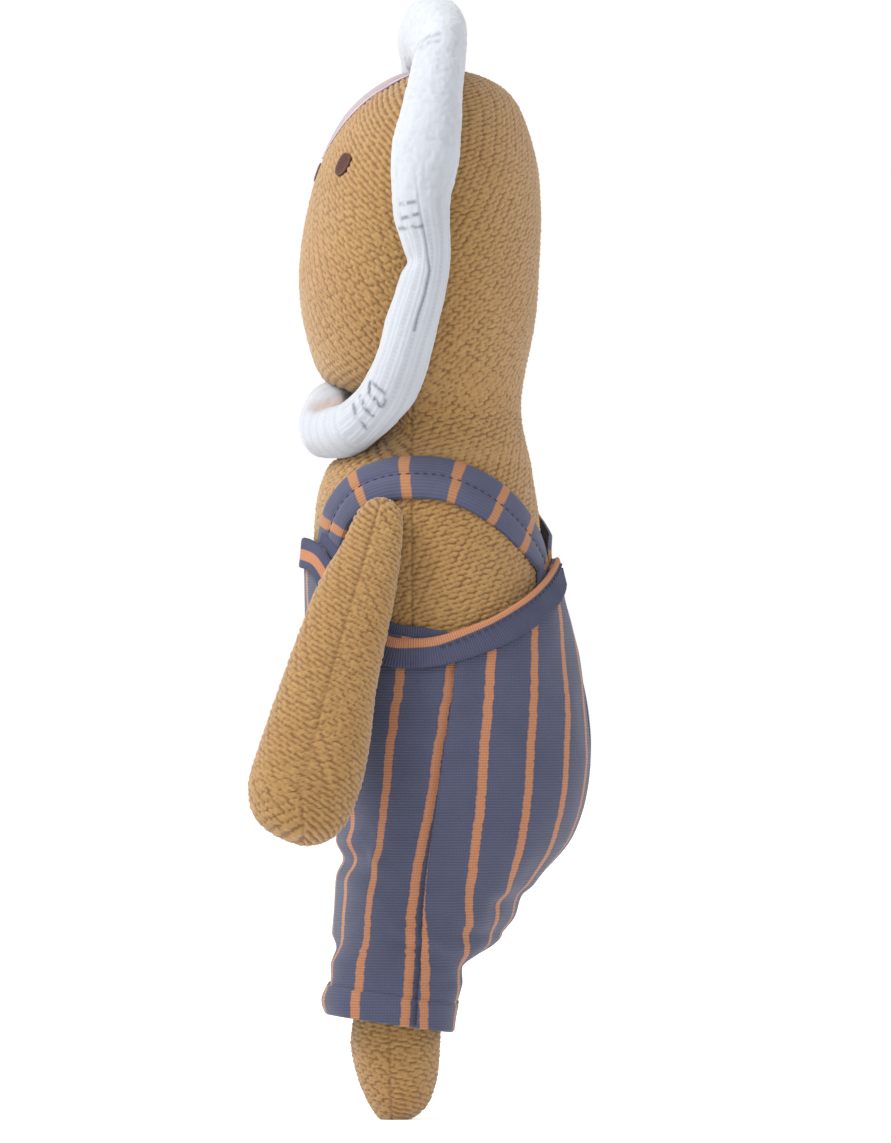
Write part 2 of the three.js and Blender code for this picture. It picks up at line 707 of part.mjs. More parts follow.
buildTorso();
buildNeck();
buildHead();
buildMane();
buildFace();
buildArms();
buildLegs();
buildDungarees();
buildTrouserLegs();
buildStraps();

export default lion;
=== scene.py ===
"""A knitted plush lion in striped dungarees, about 35 cm tall. Sizes are in millimetres up to the
point where a mesh is made, which is in metres."""
import math

import bpy
import numpy as np
from mathutils import Matrix, Vector


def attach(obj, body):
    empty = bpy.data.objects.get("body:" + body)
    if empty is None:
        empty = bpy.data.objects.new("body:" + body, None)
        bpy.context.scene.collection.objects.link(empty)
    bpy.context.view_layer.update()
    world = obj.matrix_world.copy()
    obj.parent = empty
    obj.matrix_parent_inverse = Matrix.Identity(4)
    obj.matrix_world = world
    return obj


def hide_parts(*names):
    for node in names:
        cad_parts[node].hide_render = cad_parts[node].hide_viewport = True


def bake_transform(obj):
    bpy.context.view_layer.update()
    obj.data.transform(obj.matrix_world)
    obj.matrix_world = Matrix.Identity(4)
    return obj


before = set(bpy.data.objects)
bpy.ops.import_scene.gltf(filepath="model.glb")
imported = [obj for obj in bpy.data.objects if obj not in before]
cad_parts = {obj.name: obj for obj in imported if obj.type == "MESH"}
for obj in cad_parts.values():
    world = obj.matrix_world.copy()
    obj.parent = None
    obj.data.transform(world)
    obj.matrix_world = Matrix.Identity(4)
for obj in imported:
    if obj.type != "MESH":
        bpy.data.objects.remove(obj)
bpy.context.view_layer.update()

# ---------------------------------------------------------------------------------------------
# Camera: the photograph looks straight at the lion's left side, from chest height and from far
# enough away to show little perspective. Its frame is 357 mm high at the lion.
view_height = 0.3572
view_distance = 4.5
view_y, view_z = 0.0077, 0.1705
sensor_height = 24
camera_data = bpy.data.cameras.new("camera")
camera_data.sensor_fit = "VERTICAL"
camera_data.sensor_height = sensor_height
camera_data.lens = sensor_height * view_distance / view_height
camera = bpy.data.objects.new("camera", camera_data)
camera.location = (view_distance, view_y, view_z)
camera.rotation_euler = (math.pi / 2, 0, math.pi / 2)
bpy.context.collection.objects.link(camera)
bpy.context.scene.camera = camera
bpy.context.scene.view_settings.view_transform = "Standard"

# ---------------------------------------------------------------------------------------------
# Floor and light: a plain white floor under a white sky, so that it runs into the background,
# and soft lamps from the front left, above the lion's face, from low in front and from behind.


def linear(hex_colour):
    """An sRGB hex colour as the linear one that a shader takes."""
    parts = [int(hex_colour[i:i + 2], 16) / 255 for i in (0, 2, 4)]
    return [c / 12.92 if c <= 0.04045 else ((c + 0.055) / 1.055) ** 2.4 for c in parts] + [1.0]


def connect(node, inputs):
    """Links or sets a node's inputs. A text is a colour's hex value."""
    for key, value in inputs.items():
        if isinstance(value, bpy.types.NodeSocket):
            node.id_data.links.new(value, node.inputs[key])
        else:
            node.inputs[key].default_value = linear(value) if isinstance(value, str) else value


def new_material(name):
    """An empty material, its node tree and its shader."""
    material = bpy.data.materials.new(name)
    material.use_nodes = True
    return material, material.node_tree, material.node_tree.nodes["Principled BSDF"]


world = bpy.data.worlds.new("studio")
world.use_nodes = True
connect(world.node_tree.nodes["Background"], {"Color": "ffffff", "Strength": 1})
bpy.context.scene.world = world


def soft_lamp(name, place, size, power):
    """A square lamp that faces the middle of the lion."""
    lamp = bpy.data.lights.new(name, "AREA")
    lamp.size = size
    lamp.energy = power
    holder = bpy.data.objects.new(name, lamp)
    holder.location = place
    facing = Vector((0, 0, 0.17)) - Vector(place)
    holder.rotation_euler = facing.to_track_quat("-Z", "Y").to_euler()
    bpy.context.collection.objects.link(holder)


soft_lamp("front_lamp", (0.3, -0.55, 0.85), 0.4, 8.5)
soft_lamp("low_lamp", (0.6, -0.9, 0.25), 0.6, 1.8)
soft_lamp("back_lamp", (0.9, 1.2, 1.2), 0.8, 6)

bpy.ops.object.select_all(action="DESELECT")
bpy.ops.mesh.primitive_plane_add(size=16, location=(0, 0, 0))
floor = bpy.context.object
floor.name = "floor"
# Matt white paper, lit from below as on a light table, so that it only shows the soft shadow at
# the feet
floor_paper, tree, shader = new_material("lit_white_paper")
connect(shader, {"Base Color": "e2e2e2", "Emission Color": "ffffff", "Emission Strength": 0.5, "Roughness": 0.9})
floor.data.materials.append(floor_paper)

# ---------------------------------------------------------------------------------------------
# Torso and neck: a bag of thick tan knit, stuffed with fibre, in a front and a back panel that
# are sewn together down the sides. Its lower half is hidden in the dungarees.


def between(before, here, there, after, t):
    """A smooth way from here to there, as t goes from 0 to 1, given the stations on either side."""
    slope, next_slope, gap = (there - before) / 2, (after - here) / 2, there - here
    return here + t * (slope + t * (3 * gap - 2 * slope - next_slope + t * (slope + next_slope - 2 * gap)))


class StuffedForm:
    """A soft round form in mm, as rings from one end to the other. Each station is a ring's front y
    and z, its back y and z, half its width, and the x of its middle."""

    def __init__(self, stations, squareness=2.2):
        rings = np.array([list(s) + [0] * (6 - len(s)) for s in stations], float)
        self.squareness = squareness
        self.last = len(rings) - 1
        self.rings = np.vstack([self.beyond(rings[0], rings[1]), rings, self.beyond(rings[-1], rings[-2])])
        self.upwards = np.sign(rings[-1, 1] - rings[0, 1])

    @staticmethod
    def beyond(end, inner):
        """The ring after an end: a round end's reflection, or a straight run on."""
        if end[4] == 0:
            return np.array([inner[2], inner[3], inner[0], inner[1], -inner[4], inner[5]])
        return 2 * end - inner

    def section(self, place):
        """The ring at a place counted in stations."""
        i = np.clip(np.floor(place).astype(int), 0, self.last - 1)
        return between(*(self.rings[i + k] for k in range(4)), (place - i)[..., None])

    def surface(self, place, angle):
        """Points at places and angles. An angle is 0 at the front and a quarter turn at the left."""
        fy, fz, by, bz, half, x = np.moveaxis(self.section(np.asarray(place, float)), -1, 0)
        across, along = (np.sign(w) * np.abs(w) ** (2 / self.squareness) for w in (np.sin(angle), np.cos(angle)))
        parts = (x + half * across, (fy + by) / 2 + (fy - by) / 2 * along, (fz + bz) / 2 + (fz - bz) / 2 * along)
        return np.stack(np.broadcast_arrays(*parts), -1)

    def slopes(self, place, angle, small=1e-3):
        """How the surface moves with the place and with the angle."""
        by_place = self.surface(place + small, angle) - self.surface(place - small, angle)
        by_angle = self.surface(place, angle + small) - self.surface(place, angle - small)
        return by_place / (2 * small), by_angle / (2 * small)

    def normal(self, place, angle):
        """Outward directions at places and angles."""
        by_place, by_angle = self.slopes(place, angle)
        outwards = np.cross(by_angle, by_place) * self.upwards
        return outwards / np.linalg.norm(outwards, axis=-1, keepdims=True)

    def shift(self, place, angle, moves):
        """The places and angles that small moves in mm lead to."""
        inverse = np.linalg.pinv(np.stack(self.slopes(place, angle), -1))
        steps = np.einsum("...ij,...j->...i", inverse, moves)
        return place + steps[..., 0], angle + steps[..., 1]

    def locate(self, y, z):
        """The places and angles of the left side's points at given y and z."""
        low, high = np.full(y.shape, 0.05), np.full(y.shape, self.last - 0.05)
        for _ in range(30):
            middle = (low + high) / 2
            fy, fz, by, bz = np.moveaxis(self.section(middle), -1, 0)[:4]
            below = ((by - fy) * (z - fz) - (bz - fz) * (y - fy)) * self.upwards > 0
            low, high = np.where(below, middle, low), np.where(below, high, middle)
        fy, _, by = np.moveaxis(self.section(low), -1, 0)[:3]
        along = np.clip((y - (fy + by) / 2) / ((fy - by) / 2), -1, 1)
        return low, np.arccos(np.sign(along) * np.abs(along) ** (self.squareness / 2))

    def place_at(self, z):
        """The place on the form where its side is at a height."""
        places = np.linspace(0, self.last, 800)
        heights = self.surface(places, np.pi / 2)[:, 2]
        order = np.argsort(heights)
        return np.interp(z, heights[order], places[order])


def unit(vectors):
    """The same directions, each 1 long."""
    return vectors / np.maximum(np.linalg.norm(vectors, axis=-1, keepdims=True), 1e-9)


def smooth(value, low, high):
    """A soft step from 0 to 1 between two values."""
    t = np.clip((value - low) / (high - low), 0, 1)
    return t * t * (3 - 2 * t)


def run_length(points):
    """How far along a line of points each one lies."""
    return np.concatenate([[0], np.cumsum(np.linalg.norm(np.diff(points, axis=0), axis=-1))])


def chance(i, j, seed):
    """Repeatable numbers from 0 to 1, one for each pair of whole numbers."""
    mixed = (i.astype(np.int64) * 73856093) ^ (j.astype(np.int64) * 19349663) ^ (seed * 83492791)
    mixed = ((mixed ^ (mixed >> 13)) * 1274126177) & 0x7FFFFFFF
    return ((mixed ^ (mixed >> 15)) & 0xFFFF) / 65535


def wander(points, size, seed):
    """Smooth lumps from -1 to 1, about as large as the size in mm."""
    cell = points / size
    base = np.floor(cell)
    share = smooth(cell - base, 0, 1)
    total = np.zeros(points.shape[:-1])
    for corner in np.ndindex(2, 2, 2):
        at = (base + corner).astype(np.int64)
        weight = np.prod(np.where(corner, share, 1 - share), axis=-1)
        total += weight * chance(at[..., 0] + 57 * at[..., 2], at[..., 1], seed)
    return 2 * total - 1


def grid_normals(points, middle, closed=False):
    """Directions away from the middle line, for rows of points that go round a form."""
    along = np.roll(points, -1, 0) - np.roll(points, 1, 0) if closed else np.gradient(points, axis=0)
    normals = unit(np.cross(np.roll(points, -1, 1) - np.roll(points, 1, 1), along))
    return normals * np.sign(np.median(np.einsum("ijk,ijk->ij", normals, points - middle)))


def fan_volume(vertices, faces):
    """Six times the volume between the origin and some faces, below 0 if they face inwards."""
    corners = np.moveaxis(vertices[faces], 1, 0)
    return sum(np.einsum("ij,ij->", corners[0], np.cross(*pair)) for pair in zip(corners[1:-1], corners[2:]))


def make_piece(name, points, material, uv=None, ends=(None, None), around=True, closed=False,
               kept=None, flip=False, **values):
    """A mesh from rows of points in mm. Rows close on themselves if they go around, an end with a
    point gets a fan, and the values are stored at the points for the material to read."""
    index = np.arange(points[..., 0].size).reshape(points.shape[:2])
    grid = np.vstack([index, index[:1]]) if closed else index
    grid = np.hstack([grid, grid[:, :1]]) if around else grid
    uv = np.zeros(grid.shape + (2,)) if uv is None else uv
    chosen = np.ones((grid.shape[0] - 1, grid.shape[1] - 1), bool) if kept is None else kept
    faces, face_uv = ([np.stack([a[:-1, :-1], a[:-1, 1:], a[1:, 1:], a[1:, :-1]], 2)[chosen]] for a in (grid, uv))
    vertices = [points.reshape(-1, 3)]
    stored = {key: [value.ravel()] for key, value in values.items()}
    for end, point in enumerate(ends):
        if point is None:
            continue
        here, after = (slice(-1), slice(1, None)) if end else (slice(1, None), slice(-1))
        ring, ring_uv = grid[-end], uv[-end]
        tip = np.full(len(ring) - 1, sum(len(v) for v in vertices))
        faces.append(np.stack([ring[here], ring[after], tip], 1))
        face_uv.append(np.stack([ring_uv[here], ring_uv[after], (ring_uv[here] + ring_uv[after]) / 2], 1))
        vertices.append(np.array([point], float))
        for key, value in values.items():
            stored[key].append(value[-end].mean(keepdims=True))
    vertices = np.vstack(vertices)
    if len(faces) == 3 or closed:
        flip = sum(fan_volume(vertices, some) for some in faces) < 0
    if flip:
        faces, face_uv = ([some[:, ::-1] for some in each] for each in (faces, face_uv))
    sizes = np.concatenate([np.full(len(some), some.shape[1]) for some in faces])
    used, loops = np.unique(np.concatenate([some.ravel() for some in faces]), return_inverse=True)
    mesh = bpy.data.meshes.new(name)
    mesh.vertices.add(len(used))
    mesh.vertices.foreach_set("co", (vertices[used] / 1000).astype(np.float32).ravel())
    mesh.loops.add(len(loops))
    mesh.loops.foreach_set("vertex_index", loops.astype(np.int32))
    mesh.polygons.add(len(sizes))
    mesh.polygons.foreach_set("loop_start", (np.cumsum(sizes) - sizes).astype(np.int32))
    loop_uv = np.concatenate([some.ravel() for some in face_uv])
    mesh.uv_layers.new(name="knit").data.foreach_set("uv", loop_uv.astype(np.float32))
    mesh.update(calc_edges=True)
    for key, value in stored.items():
        layer = mesh.attributes.new(key, "FLOAT", "POINT")
        layer.data.foreach_set("value", np.concatenate(value)[used].astype(np.float32))
    mesh.shade_smooth()
    mesh.materials.append(material)
    piece = bpy.data.objects.new(name, mesh)
    bpy.context.collection.objects.link(piece)
    return piece


def stitches(u, v, shear, stretch, tilt, step, seed):
    """The height, 0 to 1, of knit stitches like long grains of rice, end to end in lines that rise to
    the right by the tilt. Each line starts a step beside the one below. u runs to the right and v
    up, in mm."""
    line_gap, grain_gap, half_long, half_wide = 1.42, 3.4, 1.95, 0.76
    cos_tilt, sin_tilt = np.cos(tilt), np.sin(tilt)
    along_u, up = u * cos_tilt + v * sin_tilt, v * cos_tilt - u * sin_tilt
    nearest_line = np.round(up / line_gap)
    height = np.zeros(u.shape)
    for beside_line in (-1, 0, 1):
        line = nearest_line + beside_line
        start = line * step * grain_gap + (chance(line, line * 0, seed) - 0.5) * 0.5
        nearest = np.round((along_u - start) / grain_gap)
        for beside in (-1, 0, 1):
            grain = nearest + beside
            # Every other grain lies a little lower and flatter, and none is quite like the next
            lower = grain % 2
            luck = [chance(line * 3 + k, grain, seed + k) - 0.5 for k in range(4)]
            by_along = along_u - start - grain * grain_gap - 0.6 * luck[0]
            by_up = up - line * line_gap - 0.25 * luck[1] - 0.12 * lower
            by_u, by_v = by_along * cos_tilt - by_up * sin_tilt, by_up * cos_tilt + by_along * sin_tilt
            x, y = by_u + shear * by_v, stretch * by_v
            turn = tilt * 1.15 + 0.25 * luck[2]
            along, aside = x * np.cos(turn) + y * np.sin(turn), y * np.cos(turn) - x * np.sin(turn)
            inside = 1 - np.abs(along / (half_long * (1 + 0.2 * luck[3]))) ** 2.6 - (aside / half_wide) ** 2
            grain_height = (0.92 - 0.14 * lower + 0.25 * luck[1]) * np.maximum(inside, 0) ** 0.7
            height = np.maximum(height, grain_height)
    return height


def lumpy(points, depth):
    """How far loose filling pushes a skin out at its points."""
    return depth * (0.7 * wander(points, 23, 3) + 0.3 * wander(points, 11, 4))


def knit_surface(form, places, columns, weave, seed, lumps=0.5):
    """A stuffed form's skin of stitches, as rows of points, their cloth measures, and how much painted shade each
    point gets from how deep it lies, in the pits between the stitches and in the seam's groove.
    For points, the weave gives the y that divides the panels, the stitches' tilt and their step."""
    angles = np.linspace(0, 2 * np.pi, columns, endpoint=False)
    base = form.surface(places[:, None], angles[None, :])
    normals = grid_normals(base, base.mean(axis=1, keepdims=True))
    base = base + normals * lumpy(base, lumps)[..., None]
    # Measures round the form, from the middle of the front and of the back, and up its side
    step = np.linalg.norm(np.roll(base, -1, 1) - base, axis=-1)
    arc = np.cumsum(step, axis=1) - step
    total = step.sum(axis=1, keepdims=True)
    from_front = np.where(angles[None, :] < np.pi, arc, arc - total)
    from_back = arc - arc[:, columns // 2:columns // 2 + 1]
    side_line = base[:, columns // 4]
    v_rows = run_length(side_line) * np.sign(base[-1, 0, 2] - base[0, 0, 2])
    v_rows = v_rows - v_rows[np.argmin(np.abs(side_line[:, 2] - neck_z))]
    v = np.broadcast_to(v_rows[:, None], arc.shape)
    # How the skin's measures lean and stretch, so that each stitch keeps its shape
    right = unit(np.roll(base, -1, 1) - np.roll(base, 1, 1))
    climb = np.gradient(base, v_rows, axis=0)
    slide = np.einsum("ijk,ijk->ij", climb, right)
    stretch = np.linalg.norm(climb - slide[..., None] * right, axis=-1)
    dividing, tilt, step_up = weave(base)
    front = base[..., 1] < dividing
    shear = slide - np.where(front, *(np.gradient(u, v_rows, axis=0) for u in (from_front, from_back)))
    drift = [0.55 * wander(base, size, seed + k) for k, size in ((5, 15), (6, 12))]
    height = stitches(np.where(front, from_front, from_back) + drift[0], v + 0.7 * drift[1],
                      np.clip(shear, -2, 2), np.clip(stretch, 0.6, 1.6), tilt, step_up, seed)
    # The side seam is a groove. The pits between the stitches and the seam's groove get painted shade
    seam = np.exp(-((base[..., 1] - dividing) / 0.5) ** 2)
    pit = 1 - smooth(height, 0.0, 0.62)
    relief = 0.72 * (height - 0.4) * (1 - 0.5 * seam) - 0.5 * seam
    uv = np.dstack([np.hstack([arc, total]), np.hstack([v, v[:, :1]])])
    return base + normals * relief[..., None], uv, np.clip(pit + 0.35 * seam, 0, 1)


def knit_skin(name, surface, ends, rows=slice(None)):
    """A piece from some or all rows of a knitted surface, closed at both ends."""
    points, uv, pit = surface
    return make_piece(name, points[rows], tan_knit, uv=uv[rows], ends=ends, pit=pit[rows])


def even_places(form, low, high, spacing):
    """Places from one to another whose rings are evenly spaced down the form's side."""
    dense = np.linspace(low, high, 1500)
    length = run_length(form.surface(dense, np.pi / 2))
    count = max(int(round(length[-1] / spacing)), 2)
    return np.interp(np.linspace(0, length[-1], count + 1), length, dense)


def add_node(tree, kind, inputs, output=0, **settings):
    """Adds a node with its settings and its inputs, and gives one of its outputs."""
    made = tree.nodes.new("ShaderNode" + kind)
    for key, value in settings.items():
        setattr(made, key, value)
    connect(made, inputs)
    return made.outputs[output]


# Thick wool-like acrylic yarn, knitted loosely and brushed a little: matt, with a soft fuzz on the tops of the
# stitches, painted shade in a dark yarn colour in the pits between them, and a fine fibre grain.
# A fibre is finer than a pixel, so it is drawn about 0.3 mm wide
tan_knit, tree, shader = new_material("brushed_acrylic_knit")
place = add_node(tree, "TexCoord", {}, "Object")
pit = add_node(tree, "Attribute", {}, "Fac", attribute_name="pit")
patches = add_node(tree, "TexNoise", {"Vector": place, "Scale": 45, "Detail": 2}, "Fac")
flecks = add_node(tree, "TexNoise", {"Vector": place, "Scale": 700, "Detail": 2}, "Fac")
fleck_share = add_node(tree, "MapRange", {"Value": flecks, 1: 0.35, 2: 0.75, 3: 0, 4: 0.55})
tops = add_node(tree, "Mix", {0: patches, 6: "997b4b", 7: "936d3b"}, 2, data_type="RGBA")
yarn = add_node(tree, "Mix", {0: fleck_share, 6: tops, 7: "805a2c"}, 2, data_type="RGBA")
# Painted shade, darkest in the pits between the stitches and in the seam's groove
colour = add_node(tree, "Mix", {0: pit, 6: yarn, 7: "6a4722"}, 2, data_type="RGBA")
fibres = add_node(tree, "TexNoise", {"Vector": place, "Scale": 3200, "Detail": 2, "Roughness": 0.7}, "Fac")
bump = add_node(tree, "Bump", {"Height": fibres, "Strength": 0.6, "Distance": 0.0002})
connect(shader, {"Base Color": colour, "Normal": bump, "Roughness": 0.95, "Specular IOR Level": 0.25,
                 "Sheen Weight": 0.25, "Sheen Roughness": 0.6})

body = StuffedForm([
    [-2, 61, -2, 61, 0], [-14, 65, 17, 64, 24], [-20.6, 74, 31, 73, 35], [-22.4, 90, 43, 88, 40],
    [-28.2, 110, 48.7, 108, 42.5], [-32, 132, 47.6, 130, 42], [-33.2, 154, 43, 154, 39.5],
    [-33.5, 175, 38.2, 174, 37.5], [-32.3, 193, 36.2, 192, 36.5], [-28, 204, 34.4, 204, 33.5],
    [-19, 210, 33, 210, 29.5], [-15.5, 217.5, 31.5, 217.5, 27.5], [-19, 224.5, 31.3, 224.5, 29.5],
    [-29.8, 230.5, 32.6, 234, 35.5], [-35.2, 243, 35, 248, 41.5], [-37.8, 262, 36.6, 266, 46],
    [-36, 280, 37.1, 284, 46.5], [-31, 297.5, 35.5, 300, 43], [-22, 314, 29.6, 317, 31.5],
    [-9.5, 323.6, 19.5, 325, 17], [5, 327.2, 5, 327.2, 0],
])
neck_z = 218
neck_place = float(body.place_at(neck_z))
side_seam_y = -2.8
knit_gap = 0.47  # between the points of a skin that shows its stitches
hidden_gap = 3  # between the rings of the skin inside the dungarees


def body_weave(points):
    """The stitches rise to the right, but those of the face fall steeply towards the back."""
    face = (points[..., 1] < side_seam_y) & (points[..., 2] > 215)
    return side_seam_y, np.radians(np.where(face, -34, 16)), np.where(face, -0.64, 0.52)


body_places = np.concatenate([
    even_places(body, 0.04, 5.3, hidden_gap)[:-1],
    even_places(body, 5.3, neck_place, knit_gap)[:-1],
    even_places(body, neck_place, 19.93, knit_gap),
])
neck_row = int(np.argmin(np.abs(body_places - neck_place)))
body_surface = knit_surface(body, body_places, 560, body_weave, seed=3)
neck_middle = body_surface[0][neck_row].mean(axis=0)
# The knit is gathered in upright pleats, 3.6 mm apart, under the chin
skin_points, skin_arc = body_surface[0], body_surface[1][:, :-1, 0]
pleated = smooth(skin_points[..., 1], -8, -15) * np.exp(-((skin_points[..., 2] - 206.5) / 4.5) ** 2)
outward = unit((skin_points - [0, 8, 0]) * [1, 1, 0])
skin_points += outward * (0.6 * pleated * np.cos(2 * np.pi * skin_arc / 3.6))[..., None]
# It lies closer in the seat, so that the dungarees clear it when the legs swing
drawn_in = 1 - 0.035 * smooth(skin_points[..., 2:], 95, 80)
skin_points[..., :2] = [0, 8] + (skin_points[..., :2] - [0, 8]) * drawn_in
torso_skin = knit_skin("torso_skin", body_surface, ([0, -2, 61], neck_middle - [0, 0, 1]), slice(0, neck_row + 1))
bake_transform(torso_skin)
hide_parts("torso_front_panel", "torso_back_panel", "torso_stuffing", "neck_skin", "neck_stuffing")

# ---------------------------------------------------------------------------------------------
# Head: a face panel and a back panel of the same knit, stuffed with fibre. The stitches of the
# face fall steeply towards the back, and those of the back of the head rise a little.
head_skin = knit_skin("head_skin", body_surface, (neck_middle + [0, 0, 1], [0, 5, 327.2]), slice(neck_row, None))
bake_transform(head_skin)
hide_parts("face_panel", "head_back_panel", "head_stuffing")

# ---------------------------------------------------------------------------------------------
# Mane: a roll of white ribbed knit stuffed with fibre, sewn round the face and under the chin.
# Its ribs run along the roll, with short grey stitch marks in three places on each side.
mane_stops = [  # x, y and z of the roll's middle, half its thickness outwards and sideways
    [0, 3.5, 338.4, 12.2, 10], [22.6, 6.2, 333.7, 11, 8.0], [41.2, 4.2, 318.7, 10.6, 8.9],
    [51.3, 1.7, 300, 10.3, 10.2], [54.1, 0.2, 282.7, 9.8, 8.4], [53.1, 2.0, 267.1, 8.9, 7.4],
    [49.7, -2.2, 248.6, 8.8, 7.9], [42.8, -8, 230.3, 9.2, 8.0], [29.5, -15.9, 219.9, 8.8, 7.8],
    [15.8, -23.4, 215.8, 9.6, 9.2], [0, -27.6, 218.2, 12.2, 10],
]
# The right side is the reflection of the left, but slumps forward and down a little at the top
mane_line = mane_stops + [
    [-x, y - 5 * max(z - 320, 0) / 14, z - 2 * max(z - 320, 0) / 14, out, side]
    for x, y, z, out, side in mane_stops[-2:0:-1]
]


def closed_curve(values, t):
    """A smooth closed curve through values, at shares t of its length."""
    values = np.array(values, float)
    place = (t % 1) * len(values)
    i = np.floor(place).astype(int)
    return between(*(values[(i + k) % len(values)] for k in (-1, 0, 1, 2)), (place - i)[:, None])


photo_pixel = 0.3125  # mm
photo_middle, photo_ground = 421, 1117  # the pixels at y 0 and at z 0


def near_line(points, line, width):
    """1 on a line through photograph pixels x, y on the lion's sides, and 0 away from it."""
    line = np.array(line, float)
    corners = np.stack([line[:, 0] - photo_middle, photo_ground - line[:, 1]], -1) * photo_pixel
    nearest = np.full(points.shape[:-1], 1e9)
    for start, end in zip(corners[:-1], corners[1:]):
        along = end - start
        share = np.clip(((points[..., 1:] - start) @ along) / (along @ along), 0, 1)
        away = np.linalg.norm(points[..., 1:] - start - share[..., None] * along, axis=-1)
        nearest = np.minimum(nearest, away)
    return np.exp(-(nearest / width) ** 2)


mane_rows, mane_columns = 900, 200
along_mane = np.linspace(0, 1, 4000)
mane_length = run_length(closed_curve(mane_line, along_mane)[:, :3])
shares = np.interp(np.linspace(0, mane_length[-1], mane_rows + 1)[:-1], mane_length, along_mane)
spine = closed_curve(mane_line, shares)
spine, thick_out, thick_side = spine[:, :3], spine[:, 3, None, None], spine[:, 4, None, None]
tangent = unit(np.roll(spine, -1, 0) - np.roll(spine, 1, 0))
outer = spine - spine.mean(axis=0)
outer = unit(outer - np.einsum("ij,ij->i", outer, tangent)[:, None] * tangent)
sideways = np.cross(tangent, outer)
round_mane = np.linspace(0, 2 * np.pi, mane_columns, endpoint=False)
mane_base = spine[:, None] + (thick_out * np.cos(round_mane)[None, :, None] * outer[:, None]
                              + thick_side * np.sin(round_mane)[None, :, None] * sideways[:, None])
mane_normals = grid_normals(mane_base, spine[:, None], closed=True)
mane_lumps = 0.6 * wander(mane_base, 19, 31) + 0.35 * wander(mane_base, 8, 32)
mane_base = mane_base + mane_normals * mane_lumps[..., None]

# The ribs lie along the roll at its sides, round it under the chin, and are brushed away on top
rib_gap, rung_gap = 4.71, 1.3
mane_z, mane_reach = mane_base[..., 2], np.abs(mane_base[..., 0])
mane_side = smooth(mane_reach, 18, 34)
brushed = smooth(mane_z, 268, 296)
under_chin = 1 - smooth(mane_reach, 24, 34)
along_v, round_v = np.broadcast_arrays(
    np.linspace(0, mane_length[-1], mane_rows, endpoint=False)[:, None], 9.0 * round_mane[None, :])
rib_measure = np.where(under_chin > 0.5, along_v, round_v) + 0.9 * wander(mane_base, 25, 33)
rung_measure = np.where(under_chin > 0.5, round_v, along_v)
ladder = 2 * math.pi * rib_measure / rib_gap
grooves = (0.5 + 0.5 * np.cos(ladder)) ** 7
fine_ribs = 0.5 + 0.5 * np.cos(3 * ladder)
rungs = 0.5 + 0.5 * np.cos(2 * math.pi * rung_measure / rung_gap)
rib_share = (1 - 0.85 * brushed) * (1 - 0.3 * under_chin)
mottle = wander(mane_base * [1, 1.3, 1], 1.9, 34) + 0.7 * wander(mane_base, 1.1, 35)
mane_height = rib_share * (0.12 * fine_ribs - 0.2 * grooves * (0.5 + 0.5 * rungs))
mane_height = mane_height + (0.07 + 0.09 * brushed) * mottle
# Painted shade in the grooves between the ribs, and in the hollows of the brushed mottle
mane_pit = rib_share * np.clip(0.6 * grooves * (0.35 + 0.65 * rungs) + 0.2 * (1 - fine_ribs), 0, 1)
mane_pit = mane_pit + 0.16 * (0.3 + brushed) * smooth(mottle, 0.2, -0.9)
# A long crease down the cheek, with painted shade in it, a notch where the roll bends, and a fold under the chin,
# with a painted warm shade
crease_line = [(415, 172), (421, 216), (427, 249), (430, 275), (425, 299), (418, 320), (415, 333)]
crease = mane_side * near_line(mane_base, crease_line, 0.42) * smooth(mane_z, 300, 268)
notch = mane_side * near_line(mane_base, [(396, 265), (409, 265)], 2.4)
chin_fold = near_line(mane_base, [(356, 394), (344, 399), (330, 400), (314, 406)], 1.7)
chin_fold = smooth(mane_base[..., 1], -14, -20) * chin_fold * smooth(mane_reach, 28, 20)
mane_height = mane_height - 0.7 * crease - 1.3 * notch - 2.2 * chin_fold
mane_pit = np.clip(mane_pit + 0.7 * crease, 0, 1)
# Three groups of broken grey stitches on each side: how dark each line is, and its pixels
mark_lines = [
    (0.4, [(416, 55), (421, 46), (428, 41), (440, 38)]), (0.35, [(420, 53), (428, 47), (439, 46)]),
    (0.75, [(401, 209), (415, 207)]), (0.85, [(403, 223), (418, 219)]), (0.75, [(400, 233), (422, 231)]),
    (0.8, [(354, 404), (357, 418), (367, 429)]), (0.85, [(361, 398), (366, 410), (374, 418)]),
    (0.95, [(371, 384), (370, 394), (382, 409)]), (0.8, [(375, 386), (388, 397), (384, 407)]),
]
broken = 0.2 + 0.8 * smooth(wander(mane_base, 1.15, 41), -0.35, 0.15)
marks = np.max([depth * near_line(mane_base, line, 0.62) for depth, line in mark_lines], axis=0)
marks = marks * broken * smooth(mane_reach, 17, 24)

# Polyester and cotton knitted in ribs and brushed: white and cool, with painted grey shade in the grooves, the
# crease and the hollows of the mottle, and a painted warm shade and reflection of the tan knit in the fold under
# the chin. Its fibres are drawn 0.4 mm wide
white_rib_knit, tree, shader = new_material("white_rib_knit")
place = add_node(tree, "TexCoord", {}, "Object")
pit, mark, shaded = (add_node(tree, "Attribute", {}, "Fac", attribute_name=n) for n in ("pit", "mark", "shaded"))
patches = add_node(tree, "TexNoise", {"Vector": place, "Scale": 60, "Detail": 3}, "Fac")
colour = add_node(tree, "Mix", {0: patches, 6: "a9aeb5", 7: "9c9ea4"}, 2, data_type="RGBA")
for share, tint in ((pit, "888a91"), (shaded, "98857a"), (mark, "4e515e")):
    colour = add_node(tree, "Mix", {0: share, 6: colour, 7: tint}, 2, data_type="RGBA")
fibres = add_node(tree, "TexNoise", {"Vector": place, "Scale": 2600, "Detail": 2, "Roughness": 0.7}, "Fac")
